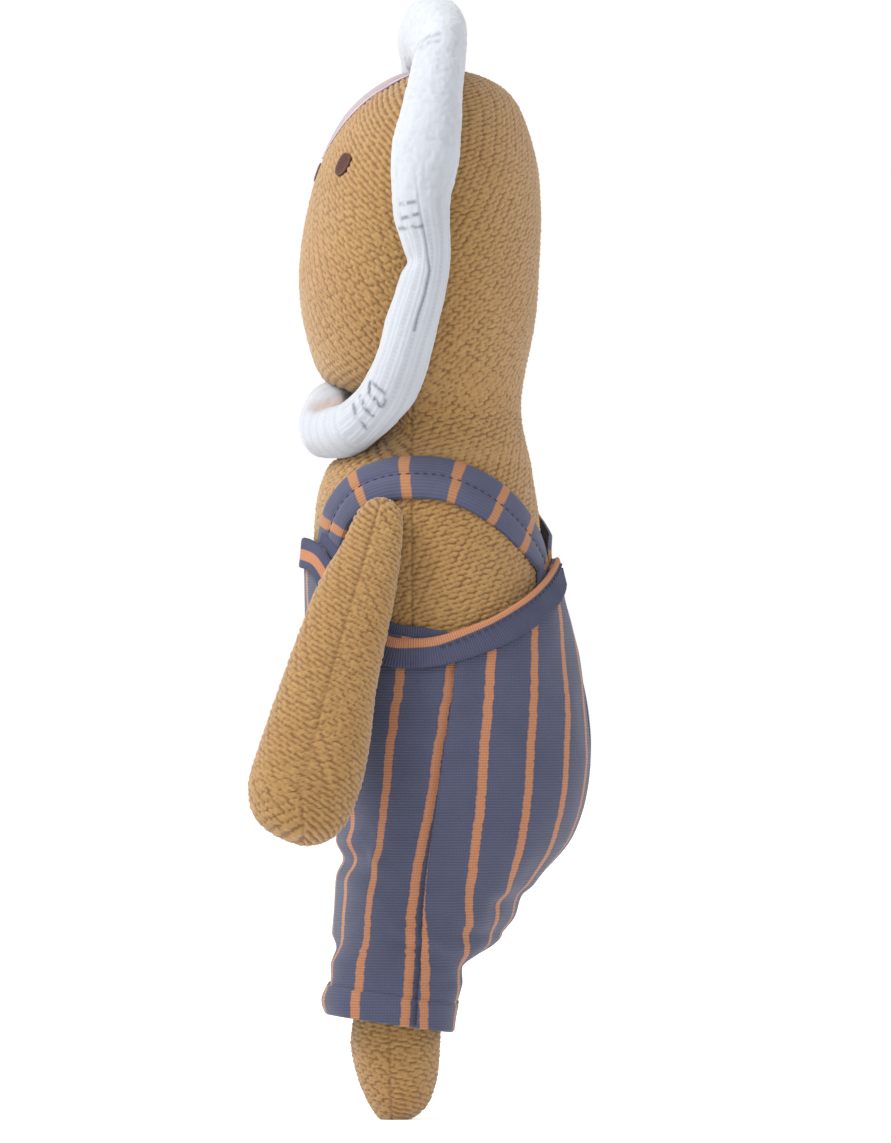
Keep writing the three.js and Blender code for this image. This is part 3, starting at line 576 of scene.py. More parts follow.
bump = add_node(tree, "Bump", {"Height": fibres, "Strength": 0.5, "Distance": 0.0002})
connect(shader, {"Base Color": colour, "Normal": bump, "Roughness": 0.9, "Specular IOR Level": 0.25,
                 "Sheen Weight": 0.3, "Sheen Roughness": 0.5})

mane_roll = make_piece("mane_roll", mane_base + mane_normals * mane_height[..., None], white_rib_knit,
                       closed=True, pit=mane_pit, mark=marks, shaded=0.8 * chin_fold)
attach(mane_roll, "head")
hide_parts("mane_sleeve", "mane_filling")

# ---------------------------------------------------------------------------------------------
# Eyes and nose: embroidered in dark brown thread, in satin stitches side by side that stand a
# little proud of the knit.

# Mercerised cotton thread: a soft satin shine on dark brown strands, with painted shade between them
brown_thread, tree, shader = new_material("mercerised_brown_thread")
place = add_node(tree, "TexCoord", {}, "Object")
pit = add_node(tree, "Attribute", {}, "Fac", attribute_name="pit")
twist = add_node(tree, "TexNoise", {"Vector": place, "Scale": 1500, "Detail": 2}, "Fac")
strands = add_node(tree, "Mix", {0: twist, 6: "3c1b12", 7: "5e3224"}, 2, data_type="RGBA")
colour = add_node(tree, "Mix", {0: pit, 6: strands, 7: "1d0f0c"}, 2, data_type="RGBA")
connect(shader, {"Base Color": colour, "Roughness": 0.5, "Specular IOR Level": 0.4})
strand = 0.62  # how wide a satin stitch is


def closed_pad(name, top, under, material, **values):
    """A thin piece from the rows of its top and of its underside, closed all round."""
    points = np.concatenate([top, under[:, ::-1]], axis=1)
    return make_piece(name, points, material, ends=(points[0].mean(axis=0), points[-1].mean(axis=0)), **values)


def embroidery(name, place, angle, outline, lean, stand_out, zigzag):
    """A closed pad of satin stitches on the head, which lie across it. The outline gives half its
    height and width, how much it widens upwards and how round it is."""
    heights = np.linspace(-1, 1, 90)[:, None]
    shares = np.linspace(-1, 1, 41)[None, :]
    half_height, widest, swell, roundness = outline
    half_width = widest * (1 + swell * heights) * (1 - np.abs(heights) ** roundness) ** (1 / roundness) + 0.1
    x = half_width * shares
    y = half_height * heights + np.zeros_like(x)
    right = unit(body.slopes(place, angle)[1])
    up = unit(np.cross(body.normal(place, angle), right))
    cos_lean, sin_lean = math.cos(lean), math.sin(lean)
    moves = (x * cos_lean - y * sin_lean)[..., None] * right + (x * sin_lean + y * cos_lean)[..., None] * up
    places, angles = body.shift(place, angle, moves)
    surface, normal = body.surface(places, angles), body.normal(places, angles)
    lumps = lumpy(surface, 0.5)
    dome = np.sqrt(np.clip(1 - shares ** 4, 0, 1)) * np.sqrt(np.clip(1 - heights ** 6, 0, 1))
    ridge = np.abs(np.sin(np.pi * (y + zigzag * np.abs(shares)) / strand)) ** 0.6
    top = surface + normal * (lumps + 0.5 + dome * (stand_out - 0.5 + 0.42 * (ridge - 0.6)))[..., None]
    under = surface + normal * (lumps + 0.15 - 0.6 * dome)[..., None]
    # Painted shade between the satin stitches, and all over the underside
    pad = closed_pad(name + "_stitches", top, under, brown_thread,
                     pit=np.concatenate([1 - ridge, np.ones_like(ridge)], axis=1))
    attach(pad, "head")
    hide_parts(name)


eye_outline = (3.75, 3.05, 0.1, 2.4)
for side, name in ((1, "left_eye"), (-1, "right_eye")):
    embroidery(name, 16.93, side * math.radians(41.5), eye_outline, side * math.radians(-14), 0.95, 0.5)
nose_outline = (3.1, 5.2, 0.6, 3.0)
embroidery("nose", 16.86, 0.0, nose_outline, 0.0, 0.85, 0.0)

# ---------------------------------------------------------------------------------------------
# Blaze: a thin pale pink patch of smooth cloth from the mane down to the nose, edged with a
# narrow white binding. It is sewn flat on the face panel.
blaze_rows = np.linspace(17.1, 19.3, 140)[:, None]
blaze_half = np.interp(blaze_rows, [17.1, 17.4, 18.0, 18.6, 19.3], [5.0, 9.5, 14.0, 15.5, 11.0])
blaze_shares = np.linspace(-1, 1, 81)
blaze_reach = blaze_half * blaze_shares
head_half = body.section(blaze_rows[:, 0])[:, 4, None]
round_share = np.minimum(np.abs(blaze_reach / head_half), 0.97)
blaze_angles = np.sign(blaze_reach) * np.arcsin(round_share ** (body.squareness / 2))
blaze_surface, blaze_normal = body.surface(blaze_rows, blaze_angles), body.normal(blaze_rows, blaze_angles)
edge_distance = blaze_half * (1 - np.abs(blaze_shares))
piping = np.exp(-((edge_distance - 0.25) / 0.15) ** 2)
blaze_lift = 0.5 + 0.35 * smooth(edge_distance, 0, 1.2) + 0.12 * piping
blaze_lumps = lumpy(blaze_surface, 0.5)

# Cotton flannel: short and smooth, pale pink, with a white bound edge. Its nap is about 1 mm
blaze_cloth, tree, shader = new_material("pale_cotton_flannel")
place = add_node(tree, "TexCoord", {}, "Object")
edge = add_node(tree, "Attribute", {}, "Fac", attribute_name="edge")
nap = add_node(tree, "TexNoise", {"Vector": place, "Scale": 900, "Detail": 2}, "Fac")
pink = add_node(tree, "Mix", {0: nap, 6: "8f7d82", 7: "7e6c72"}, 2, data_type="RGBA")
colour = add_node(tree, "Mix", {0: edge, 6: pink, 7: "c4bcba"}, 2, data_type="RGBA")
bump = add_node(tree, "Bump", {"Height": nap, "Strength": 0.4, "Distance": 0.0001})
connect(shader, {"Base Color": colour, "Normal": bump, "Roughness": 0.9, "Sheen Weight": 0.3})
blaze_patch = closed_pad("blaze_patch", blaze_surface + blaze_normal * (blaze_lumps + blaze_lift)[..., None],
                         blaze_surface + blaze_normal * (blaze_lumps - 0.2)[..., None], blaze_cloth,
                         edge=np.concatenate([smooth(piping, 0.2, 0.7)] * 2, axis=1))
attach(blaze_patch, "head")
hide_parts("forehead_blaze")

# ---------------------------------------------------------------------------------------------
# Arms: narrow tubes of the same knit, sewn to the sides of the torso by one flat seam at the
# shoulder, so they swing and lift there. The stitch rows fall towards the back.
arm_x = 41.35
arm = StuffedForm([
    [-12.5, 193.6, -12.5, 193.6, 0, arm_x], [-19, 189.6, -6.4, 189.6, 4.0, arm_x],
    [-24, 179.8, -5.8, 180.5, 5.2, arm_x + 2.4], [-31.4, 167, -7.8, 165.5, 7.2, arm_x + 5.8],
    [-37.8, 150.5, -10.8, 149.5, 8.8, arm_x + 9], [-43.8, 133.5, -13.8, 133.5, 9.9, arm_x + 11.4],
    [-49.8, 117, -15.8, 117.5, 10.8, arm_x + 13.1], [-53.1, 104, -19, 102.5, 11, arm_x + 13.9],
    [-49.5, 92.6, -25, 90.2, 8.6, arm_x + 14], [-36, 85.9, -36, 85.9, 0, arm_x + 14],
])


def arm_weave(points):
    """Its seams run down the middle, and its stitches fall steeply towards the back."""
    middle = np.interp(points[..., 2], [86, 104, 133, 167, 192], [-36, -37, -29.5, -19.5, -12.5])
    return middle, math.radians(-26), -0.6


def reflect(piece):
    """Reflects a piece in place for the lion's right side, with its faces outwards again."""
    piece.data.transform(Matrix.Diagonal((-1, 1, 1, 1)))
    piece.data.flip_normals()


def both_sides(left_piece, stem):
    """A left piece and its reflection as the right one, each with its side's name."""
    right_piece = bpy.data.objects.new("right_" + stem, left_piece.data.copy())
    right_piece.data.name = right_piece.name
    bpy.context.collection.objects.link(right_piece)
    reflect(right_piece)
    return ("left", left_piece), ("right", right_piece)


arm_surface = knit_surface(arm, even_places(arm, 0.06, 8.94, knit_gap), 150, arm_weave, seed=21, lumps=0.35)
arm_skin = knit_skin("left_arm_skin", arm_surface, ([arm_x, -12.5, 193.6], [arm_x + 14, -36, 85.9]))
for side, skin in both_sides(arm_skin, "arm_skin"):
    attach(skin, side + "_arm")
    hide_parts(side + "_arm_front_panel", side + "_arm_back_panel", side + "_arm_stuffing")

# ---------------------------------------------------------------------------------------------
# Shoulder seams: a ring of strong tan thread between each arm and the torso, drawn tight.


def sewing_thread(name, light, dark):
    """Polyester thread: smooth and slightly shiny, with darker and lighter turns half a mm long."""
    thread, tree, shader = new_material(name)
    place = add_node(tree, "TexCoord", {}, "Object")
    twist = add_node(tree, "TexNoise", {"Vector": place, "Scale": 2000, "Detail": 2}, "Fac")
    colour = add_node(tree, "Mix", {0: twist, 6: light, 7: dark}, 2, data_type="RGBA")
    connect(shader, {"Base Color": colour, "Roughness": 0.6})
    return thread


def sew(name, points, directions, normals, length, thickness, material):
    """Stitches at points in mm: one is shaped, and the others are copies of it laid along the line."""
    bpy.ops.object.select_all(action="DESELECT")
    bpy.ops.mesh.primitive_uv_sphere_add(segments=8, ring_count=6, radius=thickness / 2000)
    stitch = bpy.context.object
    bpy.ops.object.mode_set(mode="EDIT")
    bpy.ops.mesh.select_all(action="SELECT")
    bpy.ops.transform.resize(value=(length / thickness, 1, 0.8))
    bpy.ops.object.mode_set(mode="OBJECT")
    bpy.ops.object.shade_smooth()
    stitch.data.materials.append(material)
    copies = [stitch] + [stitch.copy() for _ in points[1:]]
    for copy, point, direction, normal in zip(copies, points, unit(directions), unit(normals)):
        if copy is not stitch:
            copy.data = stitch.data.copy()
            bpy.context.collection.objects.link(copy)
        aside = unit(np.cross(normal, direction))
        turn = Matrix(np.stack([direction, aside, normal], axis=1).tolist())
        copy.matrix_world = Matrix.Translation(Vector(point / 1000)) @ turn.to_4x4()
        copy.select_set(True)
    bpy.context.view_layer.objects.active = stitch
    bpy.ops.object.join()
    bpy.ops.object.transform_apply(location=True, rotation=True, scale=True)
    stitch.name = name
    return stitch


seam_count, seam_radius = 14, 3.1
turns = np.linspace(0, 2 * np.pi, seam_count, endpoint=False)
seam_ring = np.stack([turns * 0, np.cos(turns), np.sin(turns)], -1)
seam_stitches = sew("left_shoulder_stitches", [36.7, -12.5, 186.5] + seam_radius * seam_ring,
                    np.tile([1.0, 0, 0], (seam_count, 1)), seam_ring, 2.2, 1.0,
                    sewing_thread("tan_polyester_thread", "b98f55", "9c7440"))
for side, seam in both_sides(seam_stitches, "shoulder_stitches"):
    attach(seam, side + "_shoulder")
    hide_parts(side + "_shoulder_seam")

# ---------------------------------------------------------------------------------------------
# Legs: short stuffed tubes of the same knit that end in a rounded foot. Each hangs from a ball of
# filling under the torso. The sole is pressed flat where it stands.
hip_x, hip_y, hip_z, hip_radius = 19, -5.3, 52, 13


def hip_ball_station(degrees):
    """The ring of the hip's ball at so many degrees above its middle."""
    reach, rise = (hip_radius * f(math.radians(degrees)) for f in (math.cos, math.sin))
    return [hip_y - reach, hip_z + rise, hip_y + reach, hip_z + rise, reach, hip_x]


leg = StuffedForm([
    [-7.8, -0.5, -7.8, -0.5, 0, hip_x], [-11.8, -0.3, -3.8, -0.3, 4, hip_x], [-15.8, 4.6, 2.2, 4.6, 9, hip_x],
    [-19.6, 13.5, 5.2, 13.5, 12, hip_x], [-21.6, 25, 6, 25, 12.6, hip_x], [-19.4, 38, 7, 38, 12.5, hip_x],
    hip_ball_station(0), hip_ball_station(38), hip_ball_station(68),
    [hip_y, hip_z + hip_radius, hip_y, hip_z + hip_radius, 0, hip_x],
], squareness=2)


def leg_weave(points):
    """Its seams run down the middle, and its stitches fall a little towards the back."""
    middle = np.interp(points[..., 2], [0, 13, 38], [-9, -9.5, -10])
    return middle, math.radians(-12), -0.58


leg_surface = knit_surface(leg, even_places(leg, 0.12, 8.9, knit_gap), 170, leg_weave, seed=41, lumps=0.3)
leg_surface[0][..., 2] = np.maximum(leg_surface[0][..., 2], 0)
leg_skin = knit_skin("left_leg_skin", leg_surface, ([hip_x, -7.8, 0], [hip_x, hip_y, hip_z + hip_radius]))
for side, skin in both_sides(leg_skin, "leg_skin"):
    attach(skin, side + "_leg")
    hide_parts(side + "_leg_front_panel", side + "_leg_back_panel", side + "_leg_stuffing")

# ---------------------------------------------------------------------------------------------
# Dungarees: fine slate blue jersey with narrow orange stripes down the cloth, cut as a left and a
# right half, each of a front and a back panel that are sewn down the side, the centre and the
# inner leg. The bottoms of the legs are turned up and sewn.
cloth = StuffedForm([
    [-27.6, 58, 25, 58, 41.2], [-26.4, 74, 36.4, 74, 42.6], [-25.6, 90, 47.4, 88, 44.2],
    [-31, 110, 52.7, 108, 45.5], [-34.8, 132, 51.6, 130, 45], [-36, 154, 47, 154, 42.5],
    [-36.3, 175, 42.2, 174, 40.5], [-35.1, 193, 40.2, 192, 39.5],
])
trouser = StuffedForm([
    [-28.6, 33, 9.4, 27.4, 18.9, 21.3], [-29.7, 37.5, 10.6, 33.5, 19.4, 21.3],
    [-27.7, 43, 12.9, 40.5, 19.4, 21.2], [-27.9, 50, 14, 49, 20, 21],
    [-27.6, 57.7, 25, 57.7, 20.3, 20.8],
], squareness=2.5)
bib_top_z = 181
armhole = ([-40, -31, -27, -22.5, -10.5, 3, 21.6, 34, 39.5, 42.2, 58],  # its edge's y, and z below
           [180, 179, 172, 162.5, 151.5, 149, 155.3, 161.8, 168, 175, 177])
side_seam = ([27.2, 36.6, 49, 67.8, 80.3, 99, 117.8, 130.3, 140.6, 156],  # its z, and y below
             [-1.6, -0.9, 0, 0.9, 2.2, 5, 7.5, 9.7, 10.6, 12.4])
stripe_gap = 15.6
# Heights, and how far from the side seam a stripe of each panel lies there
front_stripe = ([31, 47, 67.8, 86, 99, 130, 150], [-2.7, -3.1, -3.3, -2.6, -1.7, -1.3, -0.4])
back_stripe = ([29, 47, 67.8, 99, 130, 150], [18.7, 17.2, 14.7, 13.8, 11.6, 11.0])


def ripples(tree, measure, gap):
    """A wave that rises and falls once in each gap of a measure."""
    turn = add_node(tree, "Math", {0: measure, 1: 2 * math.pi / gap}, operation="MULTIPLY")
    return add_node(tree, "Math", {0: turn}, operation="SINE")


def start_jersey(name):
    """A jersey's material, tree and shader, where its surface is, and its cloth's measures in mm."""
    jersey, tree, shader = new_material(name)
    measures = add_node(tree, "UVMap", {}, "UV", uv_map="knit")
    across = add_node(tree, "SeparateXYZ", {"Vector": measures}, "X")
    return jersey, tree, shader, add_node(tree, "TexCoord", {}, "Object"), across, across.node.outputs["Y"]


def finish_jersey(tree, shader, place, from_stripe, edge, wear, colours, ribs, steepest, shade, relief, sheen):
    """Colours a jersey: a worn ground, stripes with a soft edge from one to another distance of their
    middle line, and shade between its ribs, which are also a bump of some strength and height."""
    dark_ground, light_ground, stripe = colours
    distance = add_node(tree, "Math", {0: from_stripe}, operation="ABSOLUTE")
    in_stripe = add_node(tree, "MapRange", {"Value": distance, 1: edge[0], 2: edge[1], 3: 1, 4: 0})
    patches = add_node(tree, "TexNoise", {"Vector": place, "Scale": wear[0], "Detail": wear[1]}, "Fac")
    ground = add_node(tree, "Mix", {0: patches, 6: dark_ground, 7: light_ground}, 2, data_type="RGBA")
    striped = add_node(tree, "Mix", {0: in_stripe, 6: ground, 7: stripe}, 2, data_type="RGBA")
    shaded = add_node(tree, "Mix", {0: 1, 6: striped, 7: "7c7680"}, 2, data_type="RGBA", blend_type="MULTIPLY")
    deep = add_node(tree, "MapRange", {"Value": ribs, 1: -steepest, 2: steepest, 3: shade, 4: 0})
    colour = add_node(tree, "Mix", {0: deep, 6: striped, 7: shaded}, 2, data_type="RGBA")
    bump = add_node(tree, "Bump", {"Height": ribs, "Strength": relief[0], "Distance": relief[1]})
    connect(shader, {"Base Color": colour, "Normal": bump, "Roughness": 0.92, "Specular IOR Level": 0.2,
                     "Sheen Weight": sheen})


# Cotton jersey: matt, with fine level courses. The stripes are knitted in, so their edges step
# from course to course. Real courses are about 0.5 mm apart, and these are as coarse as they need
# to be to show
course_gap, wale_gap = 0.85, 0.9
slate_jersey, tree, shader, place, across, along = start_jersey("striped_cotton_jersey")
course = add_node(tree, "Math", {0: along, 1: course_gap}, operation="DIVIDE")
course_number = add_node(tree, "Math", {0: course}, operation="FLOOR")
jag = add_node(tree, "TexWhiteNoise", {"W": course_number}, "Value", noise_dimensions="1D")
jagged = add_node(tree, "Math", {0: jag, 1: 0.3, 2: across}, operation="MULTIPLY_ADD")
from_stripe = add_node(tree, "Math", {0: jagged, 1: stripe_gap / 2, 2: -stripe_gap / 2}, operation="WRAP")
course_wave, wale_wave = ripples(tree, course, 1), ripples(tree, across, wale_gap)
loops = add_node(tree, "Math", {0: wale_wave, 1: 0.35, 2: course_wave}, operation="MULTIPLY_ADD")
finish_jersey(tree, shader, place, from_stripe, edge=(1.25, 1.65), wear=(90, 4),
              colours=("3f4256", "4e5168", "a67152"), ribs=loops, steepest=1.35, shade=0.45,
              relief=(0.5, 0.00012), sheen=0.15)

low_places = np.linspace(0, trouser.last, 76)
high_places = np.linspace(0, cloth.last, 200)[1:]
panel_columns, inner_columns, upper_rows = 76, 26, 120
column_width = 0.8  # mm, about
jersey_thickness = 0.9  # mm
inner_seam = 0.45  # how far round the inside of the leg, from the front, the panels meet
seam_overlap = 1.8  # mm that the front panel goes on under the back one at the side seam
below_armhole = 20  # a column's first levels, which lie below every armhole


def half_level(place, low):
    """One level of the left half: its line from the centre front round the side to the centre back,
    and, below the crotch, the line back round the inside of the leg."""
    share = np.linspace(0, 1, 500)
    if not low:
        return cloth.surface(place, np.pi * share), None
    seat = cloth.surface(0, np.pi * share)
    corner = math.radians(50)
    tube = trouser.surface(place, -corner + (np.pi + 2 * corner) * share)
    apart = smooth(trouser.last - place, 0, 1.3)
    height = trouser.surface(place, np.pi * share)[:, 2]
    seat[:, 2] = height
    line = np.stack([share * 0, seat[0, 1] + (seat[-1, 1] - seat[0, 1]) * share, height], -1)
    inner = trouser.surface(place, -corner - (np.pi - 2 * corner) * share)
    return seat * (1 - apart) + tube * apart, line * (1 - apart) + inner * apart


def resampled(line, count):
    """Evenly spaced points on a line, each with how far along it lies."""
    length = run_length(line)
    at = np.linspace(0, 1, count) * length[-1]
    return np.stack([np.interp(at, length, line[:, k]) for k in range(3)] + [at], -1)


def panel_levels():
    """The left half's front and back panel, level by level: points and their measure from a stripe."""
    levels = {"front": [], "back": []}
    for low, places in ((True, low_places), (False, high_places)):
        for place in places:
            outside, inside = half_level(place, low)
            near_side = outside[100:400]
            seam_at = 100 + int(np.argmin(np.abs(near_side[:, 1] - np.interp(near_side[:, 2], *side_seam))))
            extra = int(seam_overlap / np.linalg.norm(outside[seam_at + 1] - outside[seam_at]))
            front = resampled(outside[:seam_at + 1 + extra], panel_columns)
            back = resampled(outside[seam_at:], panel_columns)
            front[:, 3] = front[:, 3] - front[-1, 3] + seam_overlap - np.interp(front[:, 2], *front_stripe)
            back[:, 3] -= np.interp(back[:, 2], *back_stripe)
            front_inner = back_inner = np.full((inner_columns, 4), np.nan)
            if low:
                cut = int(round(inner_seam * (len(inside) - 1)))
                front_inner, back_inner = (resampled(part[::-1], inner_columns + 1)
                                           for part in (inside[:cut + 1], inside[cut:]))
                front_inner[:, 3] += front[0, 3] - front_inner[-1, 3]
                back_inner[:, 3] += back[-1, 3]
                front_inner, back_inner = front_inner[:-1], back_inner[1:]
            levels["front"].append(np.vstack([front_inner, front]))
            levels["back"].append(np.vstack([back, back_inner]))
    return {which: np.array(rows) for which, rows in levels.items()}


tables = panel_levels()
# Folds: lines from y, z to y, z, with their height and width. The last two are dents that run on
# round the front of the thigh and under the seat
folds = [
    ((12, 53), (-8, 60), 0.9, 2.2), ((22, 58), (2, 70), 0.9, 2.8), ((30, 68), (8, 84), 0.7, 3.2),
    ((11, 46), (-6, 47), 0.7, 2.2), ((-26, 88), (-12, 78), 0.7, 3.0), ((-25, 76), (-12, 68), 0.5, 3.0),
    ((-27, 80), (-16, 83), -2.0, 3.6), ((35, 69.5), (22, 66), -1.3, 3.0),
]


def cloth_top(points):
    """How high the cloth reaches at a point: up to the bib's top or the armhole's edge."""
    return np.minimum(bib_top_z, np.interp(points[..., 1], *armhole))


def fold(points, start, end, depth, width):
    """A soft fold in the cloth along a line from y, z to y, z: out along it and in beside it."""
    start, end = np.array(start, float), np.array(end, float)
    along = (end - start) / np.linalg.norm(end - start)
    by = points[..., 1:] - start
    share = np.einsum("...k,k->...", by, along) / np.linalg.norm(end - start)
    aside = by[..., 1] * along[0] - by[..., 0] * along[1]
    fade = smooth(share, -0.15, 0.2) * (1 - smooth(share, 0.75, 1.15))
    return depth * fade * (np.exp(-(aside / width) ** 2) - 0.6 * np.exp(-((aside - 1.6 * width) / width) ** 2))


def cloth_normals(points, missing, inwards):
    """Outward directions of a panel's points. An edge point without one takes that of the column
    inwards, or else that of two rows below."""
    with np.errstate(invalid="ignore"):
        normals = np.cross(np.gradient(points, axis=1), np.gradient(points, axis=0))
    lost = np.isnan(normals[..., 0]) & ~missing
    normals = np.where(lost[..., None], np.roll(normals, inwards, axis=1), normals)
    row, column = np.nonzero(np.isnan(normals[..., 0]) & ~missing)
    normals = np.where(np.isnan(normals), 0, normals)
    normals[row, column] = normals[np.maximum(row - 2, 0), column]
    return unit(normals)


def cloth_panel(name, which, side):
    """One panel of the dungarees, with its folds, its turned-up hem and its sewn edges."""
    table, front = tables[which], which == "front"
    columns = table.shape[1]
    # Above the crotch, each column is spread again, up to the cloth's top edge
    low, high = table[:len(low_places)], table[len(low_places) - 1:]
    levels = np.arange(len(high))
    upper = np.full((upper_rows, columns, 4), np.nan)
    for column in range(inner_columns, columns) if front else range(panel_columns):
        line = high[:, column]
        over = (line[:, 2] - cloth_top(line))[below_armhole:]
        top = np.interp(0, over, levels[below_armhole:]) if over.max() > 0 else levels[-1]
        at = np.linspace(0, top, upper_rows + 1)[1:]
        upper[:, column] = np.stack([np.interp(at, levels, line[:, k]) for k in range(4)], -1)
    rows = np.concatenate([low, upper])
    missing = np.isnan(rows[..., 0])
    normals = cloth_normals(rows[..., :3], missing, -1 if front else 1)
    points, across = np.where(missing[..., None], 0, rows[..., :3]), np.where(missing, 0, rows[..., 3])
    x, z = points[..., 0], points[..., 2]
    # The hem is two layers thick up to 9 mm, rounded at the bottom and sewn down along a groove
    under_top = z[0] - z
    push = 0.75 * smooth(under_top, -9.4, -8.4) - 0.5 * smooth(under_top, -0.7, 0)
    push -= 0.45 * np.exp(-((under_top + 8.9) / 0.5) ** 2)
    across = across + 0.7 * smooth(under_top, -9.0, -8.6)
    push += 0.5 * wander(points, 21, 51 + side) + 0.22 * wander(points, 8, 52)
    for start, end, depth, width in folds:
        from_x = 8 if depth > 0 else -20
        push += fold(points, start, end, depth, width) * smooth(x, from_x, from_x + 14)
    # At the side seam the back panel stands up over the front one, and the centre seam lies deeper
    index = np.arange(columns)
    if front:
        push -= 0.9 * (1 - smooth((columns - 1 - index) * column_width - seam_overlap, 0.5, 3.5))
    else:
        push += 0.55 * (1 - smooth(index * column_width, 0.8, 4.5))
    push -= 0.5 * np.exp(-x ** 2) * (z > 60)
    uv = np.stack([across, z], -1)
    shaped = points + normals * push[..., None]
    shaped[..., 0] = np.where(x < 1e-6, 0, shaped[..., 0]) * side
    kept = ~(missing[:-1, :-1] | missing[1:, :-1] | missing[:-1, 1:] | missing[1:, 1:])
    piece = make_piece(name, shaped, slate_jersey, uv=uv, around=False, kept=kept, flip=side < 0)
    thickness = piece.modifiers.new("cloth", "SOLIDIFY")
    thickness.thickness = jersey_thickness / 1000
    thickness.offset = -1
    bpy.ops.object.select_all(action="DESELECT")
    piece.select_set(True)
    bpy.context.view_layer.objects.active = piece
    bpy.ops.object.modifier_apply(modifier="cloth")
    return piece


for side, word in ((1, "left"), (-1, "right")):
    for which, area in (("front", 0.0092), ("back", 0.0096)):
        panel = cloth_panel(f"{word}_{which}_cloth", which, side)
        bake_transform(panel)
        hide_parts(f"dungarees_{which}_panel", word + "_trouser_leg")

# ---------------------------------------------------------------------------------------------
# Bindings: a folded strip of the same jersey, ribbed by its stitches, closes the raw edge of each
# armhole. An orange line shows along its upper edge, and it is topstitched.


def smooth_line(points, count=120):
    """A smooth open line through y, z points."""
    points = np.array(points, float)
    points = np.vstack([2 * points[0] - points[1], points, 2 * points[-1] - points[-2]])
    t = np.linspace(0, len(points) - 3, count)
    i = np.minimum(np.floor(t).astype(int), len(points) - 4)
    return between(*(points[i + k] for k in range(4)), (t - i)[:, None])


def by_y(value, y):
    """A value that is one number or, given as a table of y and values, follows y."""
    return np.interp(y, *value) if np.ndim(value) else np.full(y.shape, float(value))


def band(name, form, line, width, lift, thickness, material, groove=0, curl=0, beside=0, start=0, jog=0):
    """A flat strip on a form along a line of y, z points: its top, its edges and its underside. It
    lies a lift above the form, its lower edge can curl away, its cloth measures can start beside or
    along it, and its lower half can lie a jog further along."""
    places, angles = form.locate(*line.T)
    length = run_length(form.surface(places, angles))
    at = np.linspace(0, length[-1], int(length[-1] / 0.5))
    places, angles = np.interp(at, length, places), np.interp(at, length, angles)
    centre, normal = form.surface(places, angles), form.normal(places, angles)
    tangent = unit(np.gradient(centre, axis=0))
    aside = unit(np.cross(normal, tangent))
    half, share = width / 2, np.linspace(-1, 1, 41)
    spread = form.shift(places[:, None], angles[:, None], half * share[None, :, None] * aside[:, None])
    surface, normals = form.surface(*spread), form.normal(*spread)
    lifts = by_y(lift, centre[:, 1])[:, None] + curl * ((1 - share) / 2) ** 3 + 0.25 * wander(surface, 9, 61)
    edge = np.sqrt(np.clip(1 - np.abs(share) ** 8, 0, 1))
    top = surface + normals * (lifts + thickness * edge - groove * np.exp(-(share / 0.16) ** 2))[..., None]
    across = np.concatenate([half * share, half * share[::-1] + 2 * half, half * share[:1]])
    along = at[:, None] + start - jog * (across < 0)
    uv = np.stack(np.broadcast_arrays(across - by_y(beside, centre[:, 1])[:, None], along), -1)
    strip = closed_pad(name, top, surface + normals * lifts[..., None], material, uv=uv)
    return strip, (at, centre, tangent, normal, aside, lifts[:, 20] + thickness)


# The same cotton jersey cut across and folded double: close ribs lie over the strip, and the
# stripe is one orange line along its upper edge
bound_jersey, tree, shader, place, across, along = start_jersey("folded_cotton_jersey_binding")
finish_jersey(tree, shader, place, across, edge=(1.5, 1.75), wear=(120, 3),
              colours=("3d4054", "4c4e64", "ad7757"), ribs=ripples(tree, along, 0.78), steepest=1,
              shade=0.35, relief=(0.6, 0.00015), sheen=0)
# Slate thread, a shade darker than the cloth that it sinks into
slate_thread = sewing_thread("slate_polyester_thread", "161929", "212437")


def topstitch(name, run, offset, rise, gap, length, thickness, start_y=-99):
    """Stitches along a band from where its y passes the start, at an offset from its middle. Beside
    the middle they lie lower, because the lion is round, with a radius of about 38 mm."""
    at, *lines, top = run
    places = np.arange(gap, at[-1] - gap, gap)
    places = places[np.interp(places, at, lines[0][:, 1]) > start_y]
    centre, tangent, normal, aside = (
        np.stack([np.interp(places, at, line[:, k]) for k in range(3)], -1) for line in lines)
    offset = by_y(offset, centre[:, 1])[:, None]
    out = (np.interp(places, at, top) + rise)[:, None] - offset ** 2 / (2 * 38)
    return sew(name, centre + aside * offset + normal * out, tangent, normal, length, thickness, slate_thread)


binding_line = smooth_line([
    [-37, 176.6], [-34.6, 176], [-31, 173.2], [-26.5, 164.5], [-21, 154], [-11, 146.2], [-1, 145.2], [8.4, 146.5],
    [22.8, 151.6], [33.1, 157.6], [39, 163], [41.7, 167], [42.8, 170], [43.4, 171.2], [44, 171.3],
])
binding_measure = ([-37, -30, -20, -9, 6, 15, 25, 45], [-0.75, 0, 2, 3.1, 3.4, 4.1, 4.6, 4.9])
binding, run = band("left_binding_strip", cloth, binding_line, width=9.5, lift=0.3, thickness=1.0,
                    material=bound_jersey, curl=0.8, beside=binding_measure)
binding_seam = topstitch("left_binding_stitches", run, offset=([8, 25], [1.0, 2.2]), rise=0.2, gap=2.4,
                         length=1.6, thickness=0.6, start_y=7)
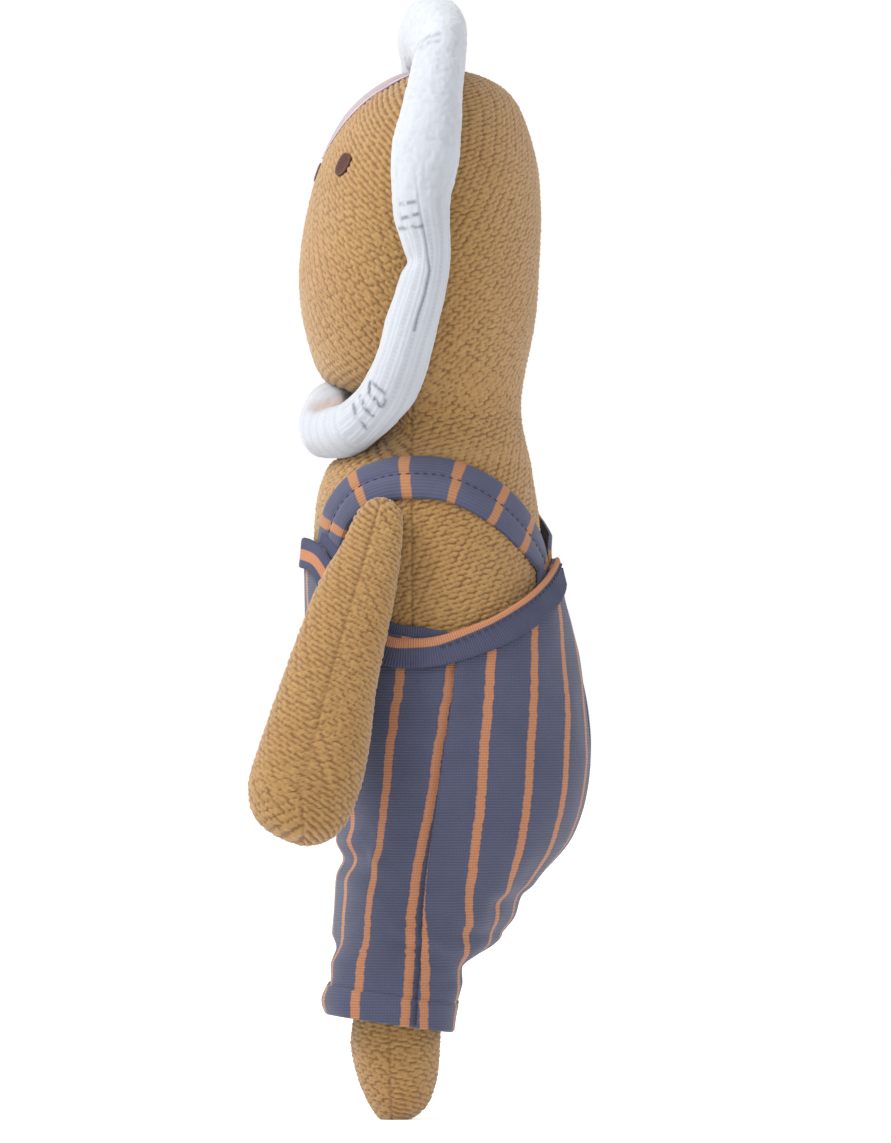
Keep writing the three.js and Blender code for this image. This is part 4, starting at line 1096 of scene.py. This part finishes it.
# Inside of the cloth, which shows above the strip behind the arm
facing_line = smooth_line([[-31.5, 181], [-27, 175.5], [-20, 163.5], [-10.5, 153.2], [0, 151.2], [11, 149]])
facing = band("left_facing_strip", cloth, facing_line, width=4.6, lift=-1.1, thickness=0.8,
              material=bound_jersey, beside=12)[0]
for piece, stem in ((binding, "binding_strip"), (binding_seam, "binding_stitches"), (facing, "facing_strip")):
    for side, one in both_sides(piece, stem):
        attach(one, "torso")
        if piece is binding:
            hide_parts(side + "_armhole_binding")

# ---------------------------------------------------------------------------------------------
# Straps: a flat tube of the striped jersey with the stripes across it and a line of stitching down
# its middle, sewn to the bib in front and to the back panel behind.
strap_jersey, tree, shader, place, across, along = start_jersey("striped_cotton_jersey_strap")
waver = add_node(tree, "TexNoise", {"Vector": place, "Scale": 300}, "Fac")
wavy = add_node(tree, "Math", {0: waver, 1: 0.8, 2: along}, operation="MULTIPLY_ADD")
from_stripe = add_node(tree, "Math", {0: wavy, 1: stripe_gap / 2, 2: -stripe_gap / 2}, operation="WRAP")
finish_jersey(tree, shader, place, from_stripe, edge=(1.3, 1.75), wear=(120, 3),
              colours=("424459", "4f5166", "9a6c4b"), ribs=ripples(tree, across, wale_gap), steepest=1,
              shade=0.22, relief=(0.3, 0.00012), sheen=0.15)
strap_line = smooth_line([
    [-28.6, 160], [-28.6, 170], [-27.6, 180.6], [-25, 189.2], [-20.2, 195], [-13.5, 198.7], [-5, 200.3],
    [6, 199.9], [15.3, 196.7], [24.7, 190.6], [32.3, 182.2], [37, 173.5], [38.4, 165], [38.4, 158],
])
# The right strap lies loose behind, where it shows past the back
loose = ([10, 24, 30, 35.5, 38.4], [0.75, 2.4, 3.8, 4.2, 0.9])
for side, lift in (("left", 0.75), ("right", loose)):
    strap, run = band(side + "_strap_band", body, strap_line, width=13.4, lift=lift, thickness=1.3,
                      material=strap_jersey, groove=0.45, start=-9.6, jog=0.4)
    strap_seam = topstitch(side + "_strap_stitches", run, offset=0, rise=-0.35, gap=2.6,
                           length=1.5, thickness=0.45)
    for piece in (strap, strap_seam):
        if side == "right":
            reflect(piece)
        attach(piece, "torso")
    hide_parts(side + "_strap")
